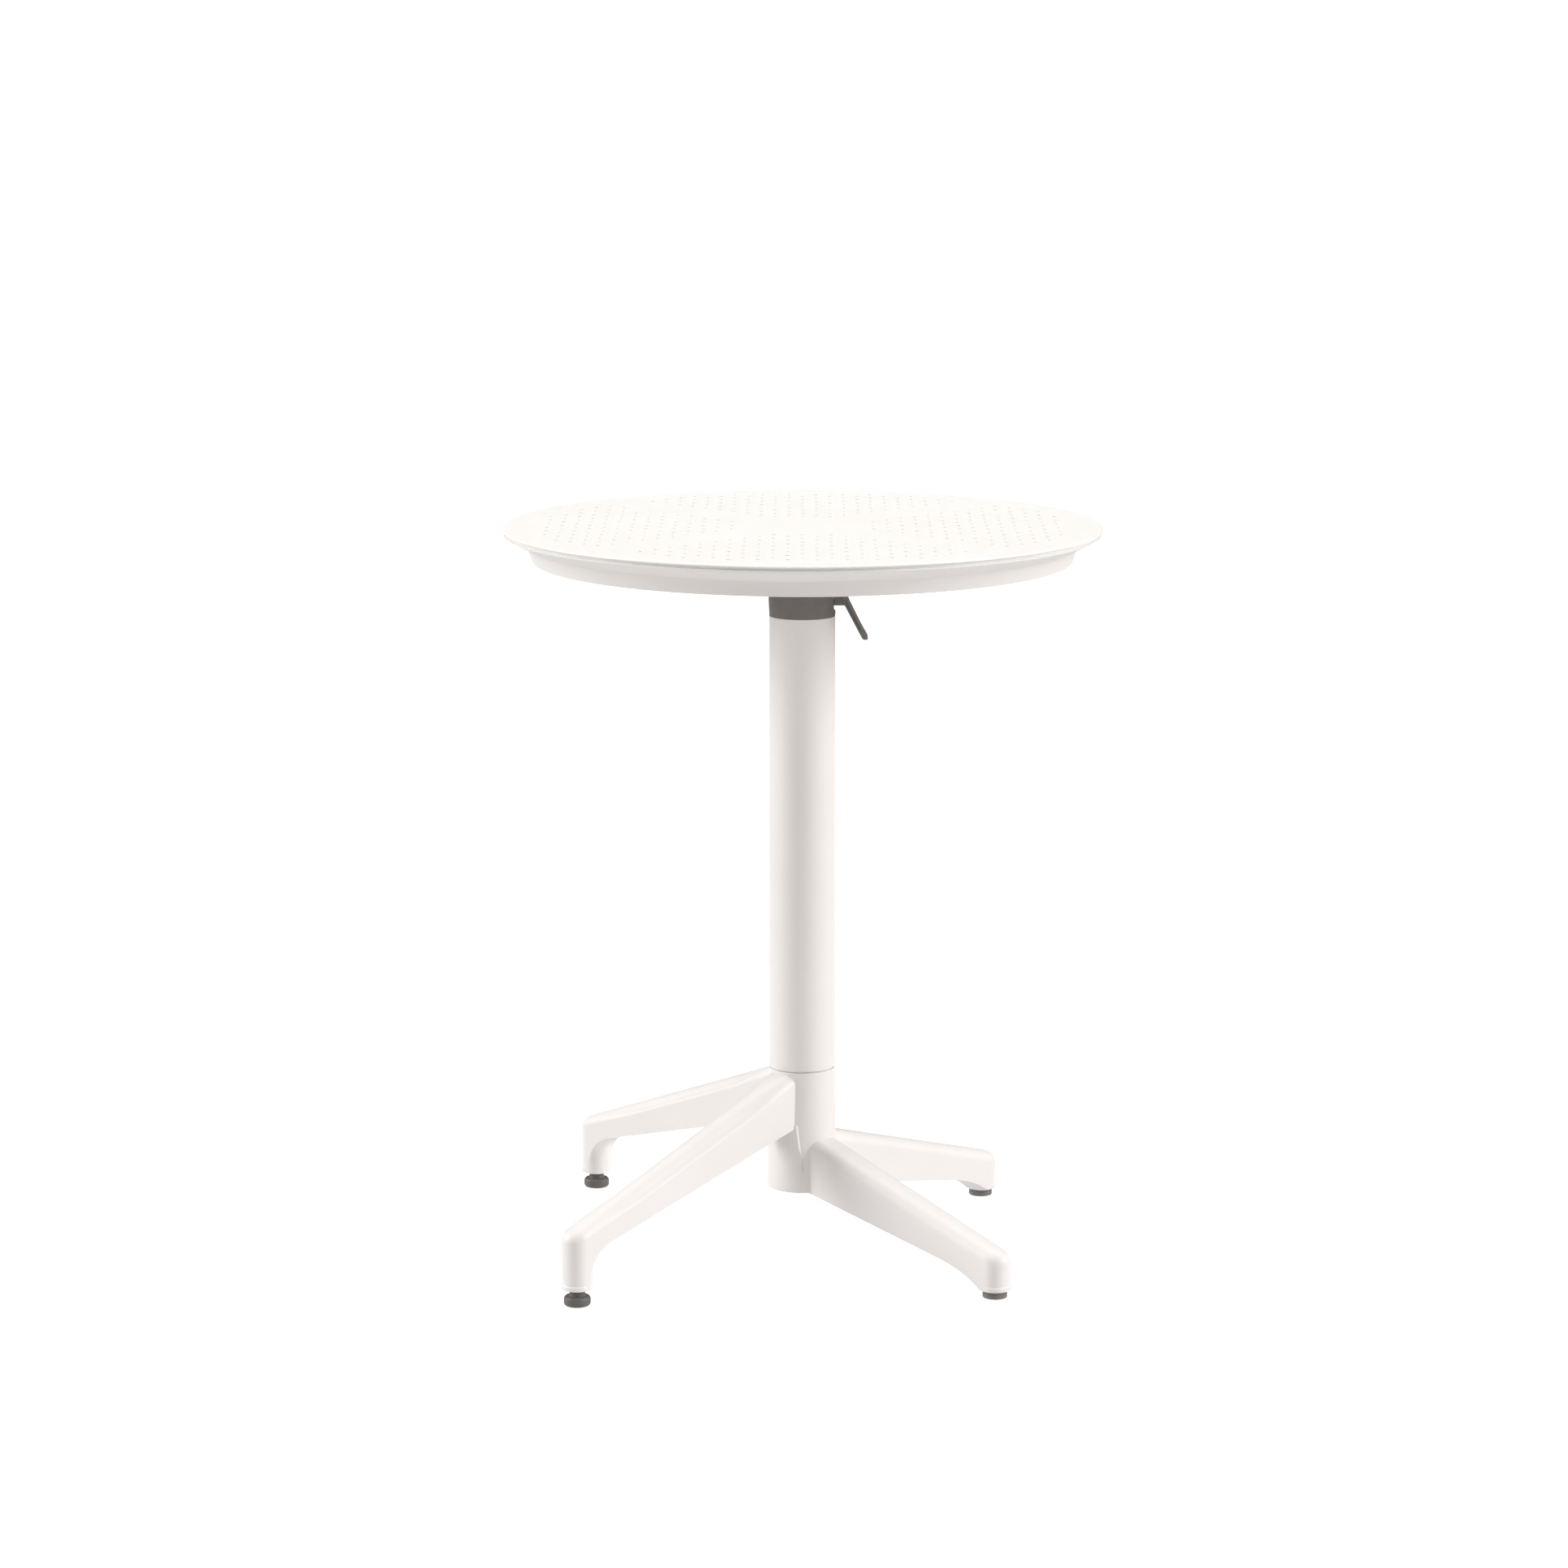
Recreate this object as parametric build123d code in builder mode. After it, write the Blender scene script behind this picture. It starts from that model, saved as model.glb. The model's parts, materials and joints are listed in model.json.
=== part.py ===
from build123d import *
from math import cos, radians, sin, sqrt
import os

os.makedirs("parts", exist_ok=True)

# Tilt-top bistro table: a round perforated top on a pedestal column with a cast four-leg base.
# Millimetres. The origin is on the floor under the column's axis, and +Z is up.
# +X is the side of the release lever. The top tips towards -X, over the two long legs.
# In a leg's own terms, "reach" is the horizontal distance from the column's axis.

# ------------------------------------------------------------------ driving dimensions

table_height = 742.0
top_radius = 300.0
panel_thickness = 7.0
apron_bottom = 708.3

hole_radius = 2.0
hole_pitch = 20.0
plain_band_half = 20.0
perforation_inner = 65.0
perforation_outer = 267.0

column_radius = 33.2
column_wall = 2.0
seam_height = 187.7
collar_bottom = 651.3

hub_bottom = 62.2
hub_bottom_radius = 35.5
leg_root_reach = 26.0
leg_root_half = 18.5
leg_crown_radius = 11.0
leg_wall = 4.0

pivot_x = -24.0
pivot_z = 690.0
pivot_pin_radius = 5.0
lever_pin_x = 38.0
lever_pin_z = 686.0
lever_pin_radius = 3.0

running_fit = 0.05
seam_chamfer = 0.5

# ------------------------------------------------------------------ derived dimensions

panel_bottom = table_height - panel_thickness
column_bore = column_radius - column_wall
spigot_radius = column_bore - 0.1

pivot_plane = Plane(origin=(pivot_x, 0, pivot_z), x_dir=(1, 0, 0), z_dir=(0, -1, 0))
lever_plane = Plane(origin=(lever_pin_x, 0, lever_pin_z), x_dir=(1, 0, 0), z_dir=(0, -1, 0))


# ------------------------------------------------------------------ base casting
# A hub with four legs on the diagonals. The two legs on the -X side spring from the top of the
# hub and are long, and the two on the +X side spring from its foot and are short, so that
# tables nest. Each leg has flat sides, a crowned top and a ribbed hollow underneath.

long_leg = {
    "foot_reach": 311.6,
    "foot_radius": 15.0,
    "foot_bottom": 17.0,
    "ridge_start": 184.0,
    "ridge_slope": -0.374,
    "under_start": 128.0,
    "under_slope": -0.273,
    "arch_start": 278.2,
    "arch_end_height": 36.9,
    "bays": ((44, 116), (119, 192), (195, 268)),
}
short_leg = {
    "foot_reach": 269.4,
    "foot_radius": 15.5,
    "foot_bottom": 8.0,
    "ridge_start": 117.0,
    "ridge_slope": -0.287,
    "under_start": 61.0,
    "under_slope": -0.179,
    "arch_start": 214.0,
    "arch_end_height": 8.0,
    "bays": ((44, 122), (125, 204)),
}
profile_datum = 33.0
pocket_roof = 8.0
bead_height = 4.5
bead_rise = 1.0
arch_overlap = 3.0
arch_width_share = 0.8


def ridge(leg, reach):
    """Height of a leg's ridge line."""
    return leg["ridge_start"] + leg["ridge_slope"] * (reach - profile_datum)


def under(leg, reach):
    """Height of a leg's lower edge."""
    return leg["under_start"] + leg["under_slope"] * (reach - profile_datum)


def half_width(leg, reach):
    """Half of a leg's width, which tapers from the hub to the foot."""
    share = (reach - leg_root_reach) / (leg["foot_reach"] - leg_root_reach)
    return leg_root_half + share * (leg["foot_radius"] - leg_root_half)


def make_leg(leg, heading):
    """One leg, pointing along a heading in degrees from +X."""
    outward = Vector(cos(radians(heading)), sin(radians(heading)), 0)
    side = Plane(origin=(0, 0, 0), x_dir=outward, z_dir=outward.cross(Vector(0, 0, 1)))
    plan = Plane(origin=(0, 0, 0), x_dir=outward, z_dir=(0, 0, 1))
    foot = leg["foot_reach"]
    heel = foot - leg["foot_radius"]
    sole = leg["foot_bottom"]
    with BuildPart() as limb:
        # tapering beam with flat sides and a crowned top
        for reach in (leg_root_reach, foot):
            section = Plane(origin=reach * outward, x_dir=Vector(0, 0, 1).cross(outward), z_dir=outward)
            depth = ridge(leg, reach) - under(leg, reach)
            with BuildSketch(section) as profile:
                with Locations((0, under(leg, reach) + depth / 2)):
                    Rectangle(2 * half_width(leg, reach), depth)
                fillet(profile.vertices().group_by(Axis.Y)[-1], leg_crown_radius)
        loft(ruled=True)
        # round foot, domed to meet the beam's crown
        with BuildSketch(plan.offset(sole)):
            with Locations((foot, 0)):
                Circle(leg["foot_radius"])
        foot_post = extrude(amount=ridge(leg, foot) - sole, mode=Mode.PRIVATE)
        add(foot_post.fillet(leg_crown_radius, foot_post.edges().group_by(Axis.Z)[-1]))
        # arch between the beam's lower edge and the foot
        with BuildSketch(side):
            with BuildLine():
                lower_edge = Line(
                    (leg["arch_start"] - 1, under(leg, leg["arch_start"] - 1)),
                    (leg["arch_start"], under(leg, leg["arch_start"])),
                )
                TangentArc(lower_edge @ 1, (heel, leg["arch_end_height"]), tangent=lower_edge % 1)
                Polyline(
                    (heel, leg["arch_end_height"]),
                    (foot, leg["arch_end_height"]),
                    (foot, under(leg, foot) + arch_overlap),
                    (leg["arch_start"] - 1, under(leg, leg["arch_start"] - 1) + arch_overlap),
                    lower_edge @ 0,
                )
            make_face()
        extrude(amount=arch_width_share * leg["foot_radius"], both=True)
        # raised bead round the sole
        with BuildSketch(plan.offset(sole)):
            with Locations((foot, 0)):
                Circle(leg["foot_radius"] + bead_rise)
        extrude(amount=bead_height)
        # hollow underside, in bays with a rib between them
        for bay_start, bay_end in leg["bays"]:
            with BuildSketch(side):
                with BuildLine():
                    Polyline(
                        (bay_start, under(leg, bay_start) - 1),
                        (bay_end, under(leg, bay_end) - 1),
                        (bay_end, ridge(leg, bay_end) - pocket_roof),
                        (bay_start, ridge(leg, bay_start) - pocket_roof),
                        close=True,
                    )
                make_face()
            bay_half = half_width(leg, bay_end) - leg_wall
            extrude(amount=bay_half, both=True, mode=Mode.SUBTRACT)
    return limb.part


def foot_point(leg, heading):
    """The foot's axis in plan."""
    return (leg["foot_reach"] * cos(radians(heading)), leg["foot_reach"] * sin(radians(heading)))


front_left_foot = foot_point(long_leg, 225)
back_left_foot = foot_point(long_leg, 135)
front_right_foot = foot_point(short_leg, 315)
back_right_foot = foot_point(short_leg, 45)

hub_bore_radius = 29.0
hub_web_bottom = 176.0
hub_spigot_top = 200.0
spigot_inner = 27.0
rod_hole_radius = 6.6
insert_radius = 6.0
insert_top = 35.0
stud_well_radius = 4.8
stud_well_top = 50.0
pad_stem_radius = 5.0
pad_stem_top = 20.0

legs = [
    make_leg(long_leg, 135),
    make_leg(long_leg, 225),
    make_leg(short_leg, 45),
    make_leg(short_leg, 315),
]

with BuildPart() as base_casting:
    with BuildSketch(Plane.XZ):
        with BuildLine():
            Polyline(
                (0, hub_bottom),
                (hub_bottom_radius, hub_bottom),
                (column_radius, seam_height - seam_chamfer),
                (column_radius - seam_chamfer, seam_height),
                (spigot_radius, seam_height),
                (spigot_radius, hub_spigot_top),
                (spigot_inner, hub_spigot_top),
                (spigot_inner, seam_height),
                (0, seam_height),
                close=True,
            )
        make_face()
    revolve(axis=Axis.Z)
    add(legs)
    # open well under the hub, and the tie rod's hole through the web above it
    with BuildSketch(Plane.XY.offset(hub_bottom - 5)):
        Circle(hub_bore_radius)
    extrude(amount=hub_web_bottom - hub_bottom + 5, mode=Mode.SUBTRACT)
    with BuildSketch(Plane.XY.offset(hub_web_bottom)):
        Circle(rod_hole_radius)
    extrude(amount=seam_height - hub_web_bottom, mode=Mode.SUBTRACT)
    # the long legs' feet take a threaded insert, with a well above it for the stud's end
    with BuildSketch(Plane.XY.offset(long_leg["foot_bottom"])):
        with Locations(front_left_foot, back_left_foot):
            Circle(insert_radius)
    extrude(amount=insert_top - long_leg["foot_bottom"], mode=Mode.SUBTRACT)
    with BuildSketch(Plane.XY.offset(insert_top)):
        with Locations(front_left_foot, back_left_foot):
            Circle(stud_well_radius)
    extrude(amount=stud_well_top - insert_top, mode=Mode.SUBTRACT)
    # the short legs' feet take a pad's stem
    with BuildSketch(Plane.XY.offset(short_leg["foot_bottom"])):
        with Locations(front_right_foot, back_right_foot):
            Circle(pad_stem_radius)
    extrude(amount=pad_stem_top - short_leg["foot_bottom"], mode=Mode.SUBTRACT)
base_casting.part.label = "base_casting"
export_step(base_casting.part, "parts/base_casting.step")


# ------------------------------------------------------------------ feet
# The long legs stand on screw glides, which level the table. The short legs stand on fixed pads.

glide_radius = 13.3
glide_disc_height = 10.0
glide_edge = 3.5
glide_neck_radius = 7.8
glide_neck_top = long_leg["foot_bottom"] - 0.3
stud_radius = 4.0
stud_bottom = 4.0
stud_top = 45.0
pad_radius = 12.2
pad_edge = 1.2

with BuildPart() as glide_inserts:
    with BuildSketch(Plane.XY.offset(long_leg["foot_bottom"])):
        with Locations(front_left_foot, back_left_foot):
            Circle(insert_radius)
            Circle(stud_radius + running_fit, mode=Mode.SUBTRACT)
    extrude(amount=insert_top - long_leg["foot_bottom"])
glide_inserts.part.label = "glide_inserts"
export_step(glide_inserts.part, "parts/glide_inserts.step")


def make_glide(centre):
    """A moulded foot: a disc with a round edge and a neck, moulded round its stud."""
    with BuildPart() as foot:
        with BuildSketch(Plane.XY):
            with Locations(centre):
                Circle(glide_radius)
        extrude(amount=glide_disc_height)
        disc_rims = foot.edges().filter_by(GeomType.CIRCLE)
        fillet(disc_rims, radius=glide_edge)
        with BuildSketch(Plane.XY.offset(glide_disc_height)):
            with Locations(centre):
                Circle(glide_neck_radius)
        extrude(amount=glide_neck_top - glide_disc_height)
        with BuildSketch(Plane.XY.offset(stud_bottom)):
            with Locations(centre):
                Circle(stud_radius)
        extrude(amount=glide_neck_top - stud_bottom, mode=Mode.SUBTRACT)
    return foot.part


def make_stud(centre):
    """The glide's threaded stud, at its thread's outer diameter."""
    with BuildPart() as stud:
        with BuildSketch(Plane.XY.offset(stud_bottom)):
            with Locations(centre):
                Circle(stud_radius)
        extrude(amount=stud_top - stud_bottom)
        chamfer(stud.edges().group_by(Axis.Z)[-1], length=0.8)
    return stud.part


def make_pad(centre):
    """A fixed pad: a disc with a stem pressed up into the leg."""
    with BuildPart() as pad:
        with BuildSketch(Plane.XY):
            with Locations(centre):
                Circle(pad_radius)
        extrude(amount=short_leg["foot_bottom"])
        fillet(pad.edges().group_by(Axis.Z)[0], radius=pad_edge)
        with BuildSketch(Plane.XY.offset(short_leg["foot_bottom"])):
            with Locations(centre):
                Circle(pad_stem_radius)
        extrude(amount=pad_stem_top - short_leg["foot_bottom"])
    return pad.part


for side_name, foot_centre in (("front", front_left_foot), ("back", back_left_foot)):
    glide_name = side_name + "_left_glide"
    with BuildPart() as glide:
        add(make_glide(foot_centre))
    glide.part.label = glide_name
    export_step(glide.part, "parts/" + glide_name + ".step")
    stud_name = glide_name + "_stud"
    with BuildPart() as glide_stud:
        add(make_stud(foot_centre))
    glide_stud.part.label = stud_name
    export_step(glide_stud.part, "parts/" + stud_name + ".step")

for side_name, foot_centre in (("front", front_right_foot), ("back", back_right_foot)):
    pad_name = side_name + "_right_pad"
    with BuildPart() as fixed_pad:
        add(make_pad(foot_centre))
    fixed_pad.part.label = pad_name
    export_step(fixed_pad.part, "parts/" + pad_name + ".step")


# ------------------------------------------------------------------ column
# A plain tube between the hub and the column head, clamped by a tie rod down its middle.

with BuildPart() as column_tube:
    with BuildSketch(Plane.XY.offset(seam_height)):
        Circle(column_radius)
        Circle(column_bore, mode=Mode.SUBTRACT)
    extrude(amount=collar_bottom - seam_height)
    outer_rims = column_tube.edges().filter_by(GeomType.CIRCLE).group_by(SortBy.RADIUS)[-1]
    chamfer(outer_rims, length=seam_chamfer)
column_tube.part.label = "column_tube"
export_step(column_tube.part, "parts/column_tube.step")

tie_rod_radius = 6.0
tie_rod_bottom = 158.0
tie_rod_top = 676.5
nut_across_flats = 19.0
nut_height = 10.0
washer_radius = 12.0
washer_thickness = 2.0
head_web_bottom = 655.0
head_web_top = 662.0

with BuildPart() as tie_rod:
    with BuildSketch(Plane.XY.offset(tie_rod_bottom)):
        Circle(tie_rod_radius)
    extrude(amount=tie_rod_top - tie_rod_bottom)
    chamfer(tie_rod.edges().filter_by(GeomType.CIRCLE), length=1.0)
tie_rod.part.label = "tie_rod"
export_step(tie_rod.part, "parts/tie_rod.step")

# one washer and nut under the hub's web, and one set on top of the head's web
washer_bottoms = (hub_web_bottom - washer_thickness, head_web_top)
nut_bottoms = (hub_web_bottom - washer_thickness - nut_height, head_web_top + washer_thickness)

with BuildPart() as tie_rod_washers:
    for bottom in washer_bottoms:
        with BuildSketch(Plane.XY.offset(bottom)):
            Circle(washer_radius)
            Circle(tie_rod_radius, mode=Mode.SUBTRACT)
        extrude(amount=washer_thickness)
tie_rod_washers.part.label = "tie_rod_washers"
export_step(tie_rod_washers.part, "parts/tie_rod_washers.step")

with BuildPart() as tie_rod_nuts:
    for bottom in nut_bottoms:
        with BuildSketch(Plane.XY.offset(bottom)):
            RegularPolygon(nut_across_flats / 2, 6, major_radius=False)
            Circle(tie_rod_radius, mode=Mode.SUBTRACT)
        extrude(amount=nut_height)
tie_rod_nuts.part.label = "tie_rod_nuts"
export_step(tie_rod_nuts.part, "parts/tie_rod_nuts.step")


# ------------------------------------------------------------------ column head
# A dark collar that plugs into the tube. It carries the pivot lug on the -X side and a rest for
# the top on the +X side, where its face is cut flat and notched for the lever's nose.

head_spigot_bottom = 625.0
head_top = 678.0
head_radius = 34.0
head_full_radius_height = 667.7
head_rim_fillet = 1.5
nut_well_radius = 12.6
flat_x = 31.7
flat_bottom = 657.0
lip_drop = 3.3
notch_depth = 3.4
notch_bottom = 660.4
notch_top = 673.0
notch_half = 11.95
lug_half = 10.0
lug_radius = 9.0
rest_left = 14.5
rest_right = 29.0
rest_half = 21.0
rest_top = 699.0
bump_x = 22.0
bump_y = 14.0
bump_radius = 5.0
bump_stem_radius = 2.5
bump_stem_depth = 5.0
bump_top = 702.7

with BuildPart() as column_head:
    with BuildSketch(Plane.XZ):
        with BuildLine():
            Polyline(
                (spigot_inner, head_spigot_bottom),
                (spigot_radius, head_spigot_bottom),
                (spigot_radius, collar_bottom),
                (column_radius, collar_bottom),
                (head_radius, head_full_radius_height),
                (head_radius, head_top),
                (nut_well_radius, head_top),
                (nut_well_radius, head_web_top),
                (rod_hole_radius, head_web_top),
                (rod_hole_radius, head_web_bottom),
                (spigot_inner, head_web_bottom),
                close=True,
            )
        make_face()
    revolve(axis=Axis.Z)
    fillet(column_head.edges().group_by(Axis.Z)[-1].sort_by(SortBy.RADIUS)[-1], head_rim_fillet)
    # flat face on the lever's side, with a lip left below it
    with BuildSketch(Plane.XZ):
        with BuildLine():
            Polyline(
                (flat_x, flat_bottom),
                (flat_x + lip_drop, flat_bottom - lip_drop),
                (head_radius + 5, flat_bottom - lip_drop),
                (head_radius + 5, head_top + 1),
                (flat_x, head_top + 1),
                close=True,
            )
        make_face()
    extrude(amount=head_radius, both=True, mode=Mode.SUBTRACT)
    # notch for the lever's nose
    with BuildSketch(Plane.XY.offset(notch_bottom)):
        with Locations((flat_x - notch_depth / 2 + 1, 0)):
            Rectangle(notch_depth + 2, 2 * notch_half)
    extrude(amount=notch_top - notch_bottom, mode=Mode.SUBTRACT)
    # pivot lug
    with BuildSketch(pivot_plane):
        Circle(lug_radius)
        with Locations((0, (head_top - 4 - pivot_z) / 2)):
            Rectangle(2 * lug_radius, pivot_z - head_top + 4)
    extrude(amount=lug_half, both=True)
    with BuildSketch(pivot_plane):
        Circle(pivot_pin_radius)
    extrude(amount=lug_half, both=True, mode=Mode.SUBTRACT)
    # rest under the top's bracket, with two stem holes for the rubber stops
    with BuildSketch(Plane.XY.offset(head_top - 3)):
        with Locations(((rest_left + rest_right) / 2, 0)):
            RectangleRounded(rest_right - rest_left, 2 * rest_half, 4)
    extrude(amount=rest_top - head_top + 3)
    with BuildSketch(Plane.XY.offset(rest_top - bump_stem_depth)):
        with Locations((bump_x, bump_y), (bump_x, -bump_y)):
            Circle(bump_stem_radius)
    extrude(amount=bump_stem_depth, mode=Mode.SUBTRACT)
column_head.part.label = "column_head"
export_step(column_head.part, "parts/column_head.step")

with BuildPart() as bump_stops:
    with BuildSketch(Plane.XY.offset(rest_top - bump_stem_depth)):
        with Locations((bump_x, bump_y), (bump_x, -bump_y)):
            Circle(bump_stem_radius)
    extrude(amount=bump_stem_depth)
    with BuildSketch(Plane.XY.offset(rest_top)):
        with Locations((bump_x, bump_y), (bump_x, -bump_y)):
            Circle(bump_radius)
    extrude(amount=bump_top - rest_top)
    fillet(bump_stops.edges().group_by(Axis.Z)[-1], radius=1.0)
bump_stops.part.label = "bump_stops"
export_step(bump_stops.part, "parts/bump_stops.step")


# ------------------------------------------------------------------ tilt bracket and its pivot
# A plate under the top with two ears on the pivot pin and two smaller ears for the lever's pin.

bracket_bottom = 703.0
bracket_top = 709.0
bracket_left = -58.0
bracket_right = 58.0
bracket_half = 36.0
bracket_corner = 12.0
screw_x = 46.0
screw_y = 24.0
pivot_ear_inner = 11.3
pivot_ear_outer = 17.3
pivot_ear_radius = 11.0
lever_ear_inner = 12.6
lever_ear_outer = 17.6
lever_ear_radius = 7.0
bracket_screw_radius = 3.0
bracket_screw_clearance = 3.3
bracket_screw_head_radius = 5.5
bracket_screw_head_height = 3.3
bracket_screw_top = 727.0

screw_points = [
    (screw_x * x_side, screw_y * y_side) for x_side in (-1, 1) for y_side in (-1, 1)
]

with BuildPart() as tilt_bracket:
    with BuildSketch(Plane.XY.offset(bracket_bottom)):
        with Locations(((bracket_left + bracket_right) / 2, 0)):
            RectangleRounded(bracket_right - bracket_left, 2 * bracket_half, bracket_corner)
    extrude(amount=bracket_top - bracket_bottom)
    fillet(tilt_bracket.edges().group_by(Axis.Z)[0], radius=1.5)
    for ear_plane, ear_radius, inner, outer in (
        (pivot_plane, pivot_ear_radius, pivot_ear_inner, pivot_ear_outer),
        (lever_plane, lever_ear_radius, lever_ear_inner, lever_ear_outer),
    ):
        rise = bracket_bottom + 2 - ear_plane.origin.Z
        for y_side in (-1, 1):
            with BuildSketch(ear_plane.offset(y_side * (inner + outer) / 2)):
                Circle(ear_radius)
                with Locations((0, rise / 2)):
                    Rectangle(2 * ear_radius, rise)
            extrude(amount=(outer - inner) / 2, both=True)
    with BuildSketch(pivot_plane):
        Circle(pivot_pin_radius + running_fit)
    extrude(amount=pivot_ear_outer, both=True, mode=Mode.SUBTRACT)
    with BuildSketch(lever_plane):
        Circle(lever_pin_radius)
    extrude(amount=lever_ear_outer, both=True, mode=Mode.SUBTRACT)
    with BuildSketch(Plane.XY.offset(bracket_bottom)):
        with Locations(*screw_points):
            Circle(bracket_screw_clearance)
    extrude(amount=bracket_top - bracket_bottom, mode=Mode.SUBTRACT)
tilt_bracket.part.label = "tilt_bracket"
export_step(tilt_bracket.part, "parts/tilt_bracket.step")

with BuildPart() as bracket_screws:
    with BuildSketch(Plane.XY.offset(bracket_bottom)):
        with Locations(*screw_points):
            Circle(bracket_screw_head_radius)
    extrude(amount=-bracket_screw_head_height)
    fillet(bracket_screws.edges().group_by(Axis.Z)[0], radius=1.5)
    with BuildSketch(Plane.XY.offset(bracket_bottom)):
        with Locations(*screw_points):
            Circle(bracket_screw_radius)
    extrude(amount=bracket_screw_top - bracket_bottom)
bracket_screws.part.label = "bracket_screws"
export_step(bracket_screws.part, "parts/bracket_screws.step")

pivot_pin_half = 20.6
clip_inner_face = 18.2
clip_thickness = 1.2
clip_radius = 8.6
clip_gap = 5.0

with BuildPart() as pivot_pin:
    with BuildSketch(pivot_plane):
        Circle(pivot_pin_radius)
    extrude(amount=pivot_pin_half, both=True)
    chamfer(pivot_pin.edges().filter_by(GeomType.CIRCLE), length=0.6)
pivot_pin.part.label = "pivot_pin"
export_step(pivot_pin.part, "parts/pivot_pin.step")

with BuildPart() as pivot_clips:
    for y_side in (-1, 1):
        with BuildSketch(pivot_plane.offset(y_side * (clip_inner_face + clip_thickness / 2))):
            Circle(clip_radius)
            Circle(pivot_pin_radius, mode=Mode.SUBTRACT)
            with Locations((0, clip_radius)):
                Rectangle(clip_gap, 2 * clip_radius, mode=Mode.SUBTRACT)
        extrude(amount=clip_thickness / 2, both=True)
pivot_clips.part.label = "pivot_clips"
export_step(pivot_clips.part, "parts/pivot_clips.step")

thrust_washer_inner_face = lug_half + 0.3
thrust_washer_radius = 9.0

with BuildPart() as thrust_washers:
    for y_side in (-1, 1):
        washer_mid = (thrust_washer_inner_face + pivot_ear_inner) / 2
        with BuildSketch(pivot_plane.offset(y_side * washer_mid)):
            Circle(thrust_washer_radius)
            Circle(pivot_pin_radius + running_fit, mode=Mode.SUBTRACT)
        extrude(amount=(pivot_ear_inner - thrust_washer_inner_face) / 2, both=True)
thrust_washers.part.label = "thrust_washers"
export_step(thrust_washers.part, "parts/thrust_washers.step")


# ------------------------------------------------------------------ release lever
# One moulded piece: a barrel on the lever pin, a block whose nose catches in the head's notch,
# and a blade that a finger pulls away from the column.

lever_half = 11.5
barrel_radius = 6.4
block_left = 32.2
nose_tip = 29.7
nose_bottom = 661.4
nose_top = 666.4
spring_slot_half = 5.0
spring_slot_radius = 7.4

with BuildPart() as release_lever:
    with BuildSketch(Plane.XZ):
        with BuildLine():
            Polyline(
                (block_left, lever_pin_z),
                (block_left, nose_top),
                (nose_tip + 0.8, nose_top),
                (nose_tip, nose_top - 0.8),
                (nose_tip, nose_bottom),
                (43.0, nose_bottom),
                (50.4, 644.8),
                (61.0, 627.9),
            )
            ThreePointArc((61.0, 627.9), (64.2, 625.9), (66.6, 628.6))
            Polyline(
                (66.6, 628.6),
                (65.7, 632.0),
                (56.0, 647.4),
                (46.2, 669.8),
                (lever_pin_x + barrel_radius, lever_pin_z),
                (block_left, lever_pin_z),
            )
        make_face()
        with Locations((lever_pin_x, lever_pin_z)):
            Circle(barrel_radius)
    extrude(amount=lever_half, both=True)
    with BuildSketch(lever_plane):
        Circle(spring_slot_radius)
    extrude(amount=spring_slot_half, both=True, mode=Mode.SUBTRACT)
    with BuildSketch(lever_plane):
        Circle(lever_pin_radius + running_fit)
    extrude(amount=lever_half, both=True, mode=Mode.SUBTRACT)
release_lever.part.label = "release_lever"
export_step(release_lever.part, "parts/release_lever.step")

lever_pin_half = 18.6

with BuildPart() as lever_pin:
    with BuildSketch(lever_plane):
        Circle(lever_pin_radius)
    extrude(amount=lever_pin_half, both=True)
    chamfer(lever_pin.edges().filter_by(GeomType.CIRCLE), length=0.4)
lever_pin.part.label = "lever_pin"
export_step(lever_pin.part, "parts/lever_pin.step")

# torsion spring round the pin: one leg up to the bracket, one down into the barrel's slot
spring_radius = 4.9
spring_wire_radius = 0.6
spring_pitch = 1.7
spring_turns = 4
spring_upper_leg = 16.8
spring_lower_leg = 4.5
spring_length = spring_pitch * spring_turns
spring_centre = (lever_pin_x, -spring_length / 2, lever_pin_z)

coil = Helix(
    pitch=spring_pitch,
    height=spring_length,
    radius=spring_radius,
    center=spring_centre,
    direction=(0, 1, 0),
    mode=Mode.PRIVATE,
).rotate(Axis(spring_centre, (0, 1, 0)), 90)
upper_leg = Edge.make_line(coil @ 0 - spring_upper_leg * (coil % 0), coil @ 0)
lower_leg = Edge.make_line(coil @ 1, coil @ 1 + spring_lower_leg * (coil % 1))

with BuildPart() as lever_spring:
    with BuildSketch(Plane(origin=upper_leg @ 0, z_dir=upper_leg % 0)):
        Circle(spring_wire_radius)
    sweep(path=Wire([upper_leg, coil.edge(), lower_leg]), is_frenet=True)
lever_spring.part.label = "lever_spring"
export_step(lever_spring.part, "parts/lever_spring.step")


# ------------------------------------------------------------------ apron frame
# The moulded ring under the panel: a sloped under-lip, a tapering apron, paired ribs on the
# diagonals and a plate in the middle for the bracket.

lip_outer = 298.2
lip_inner = 280.8
lip_inner_height = 726.4
apron_shoulder = 274.2
apron_shoulder_height = 722.6
apron_bottom_radius = 269.9
apron_wall = 3.2
frame_ring_inner = 270.6
boss_plate_radius = 62.0
boss_plate_top = 715.0
boss_wall = 3.0
screw_boss_radius = 7.0
screw_bore_top = 728.0
rib_bottom = 712.0
rib_offset = 13.0
rib_thickness = 3.0
rib_inner = 58.0
rib_outer = 269.5
panel_screw_reaches = (150.0, 252.0)
panel_screw_boss_radius = 6.0
panel_screw_radius = 2.0
panel_screw_head_radius = 4.2
panel_screw_head_height = 2.4
panel_screw_top = 740.0

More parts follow.
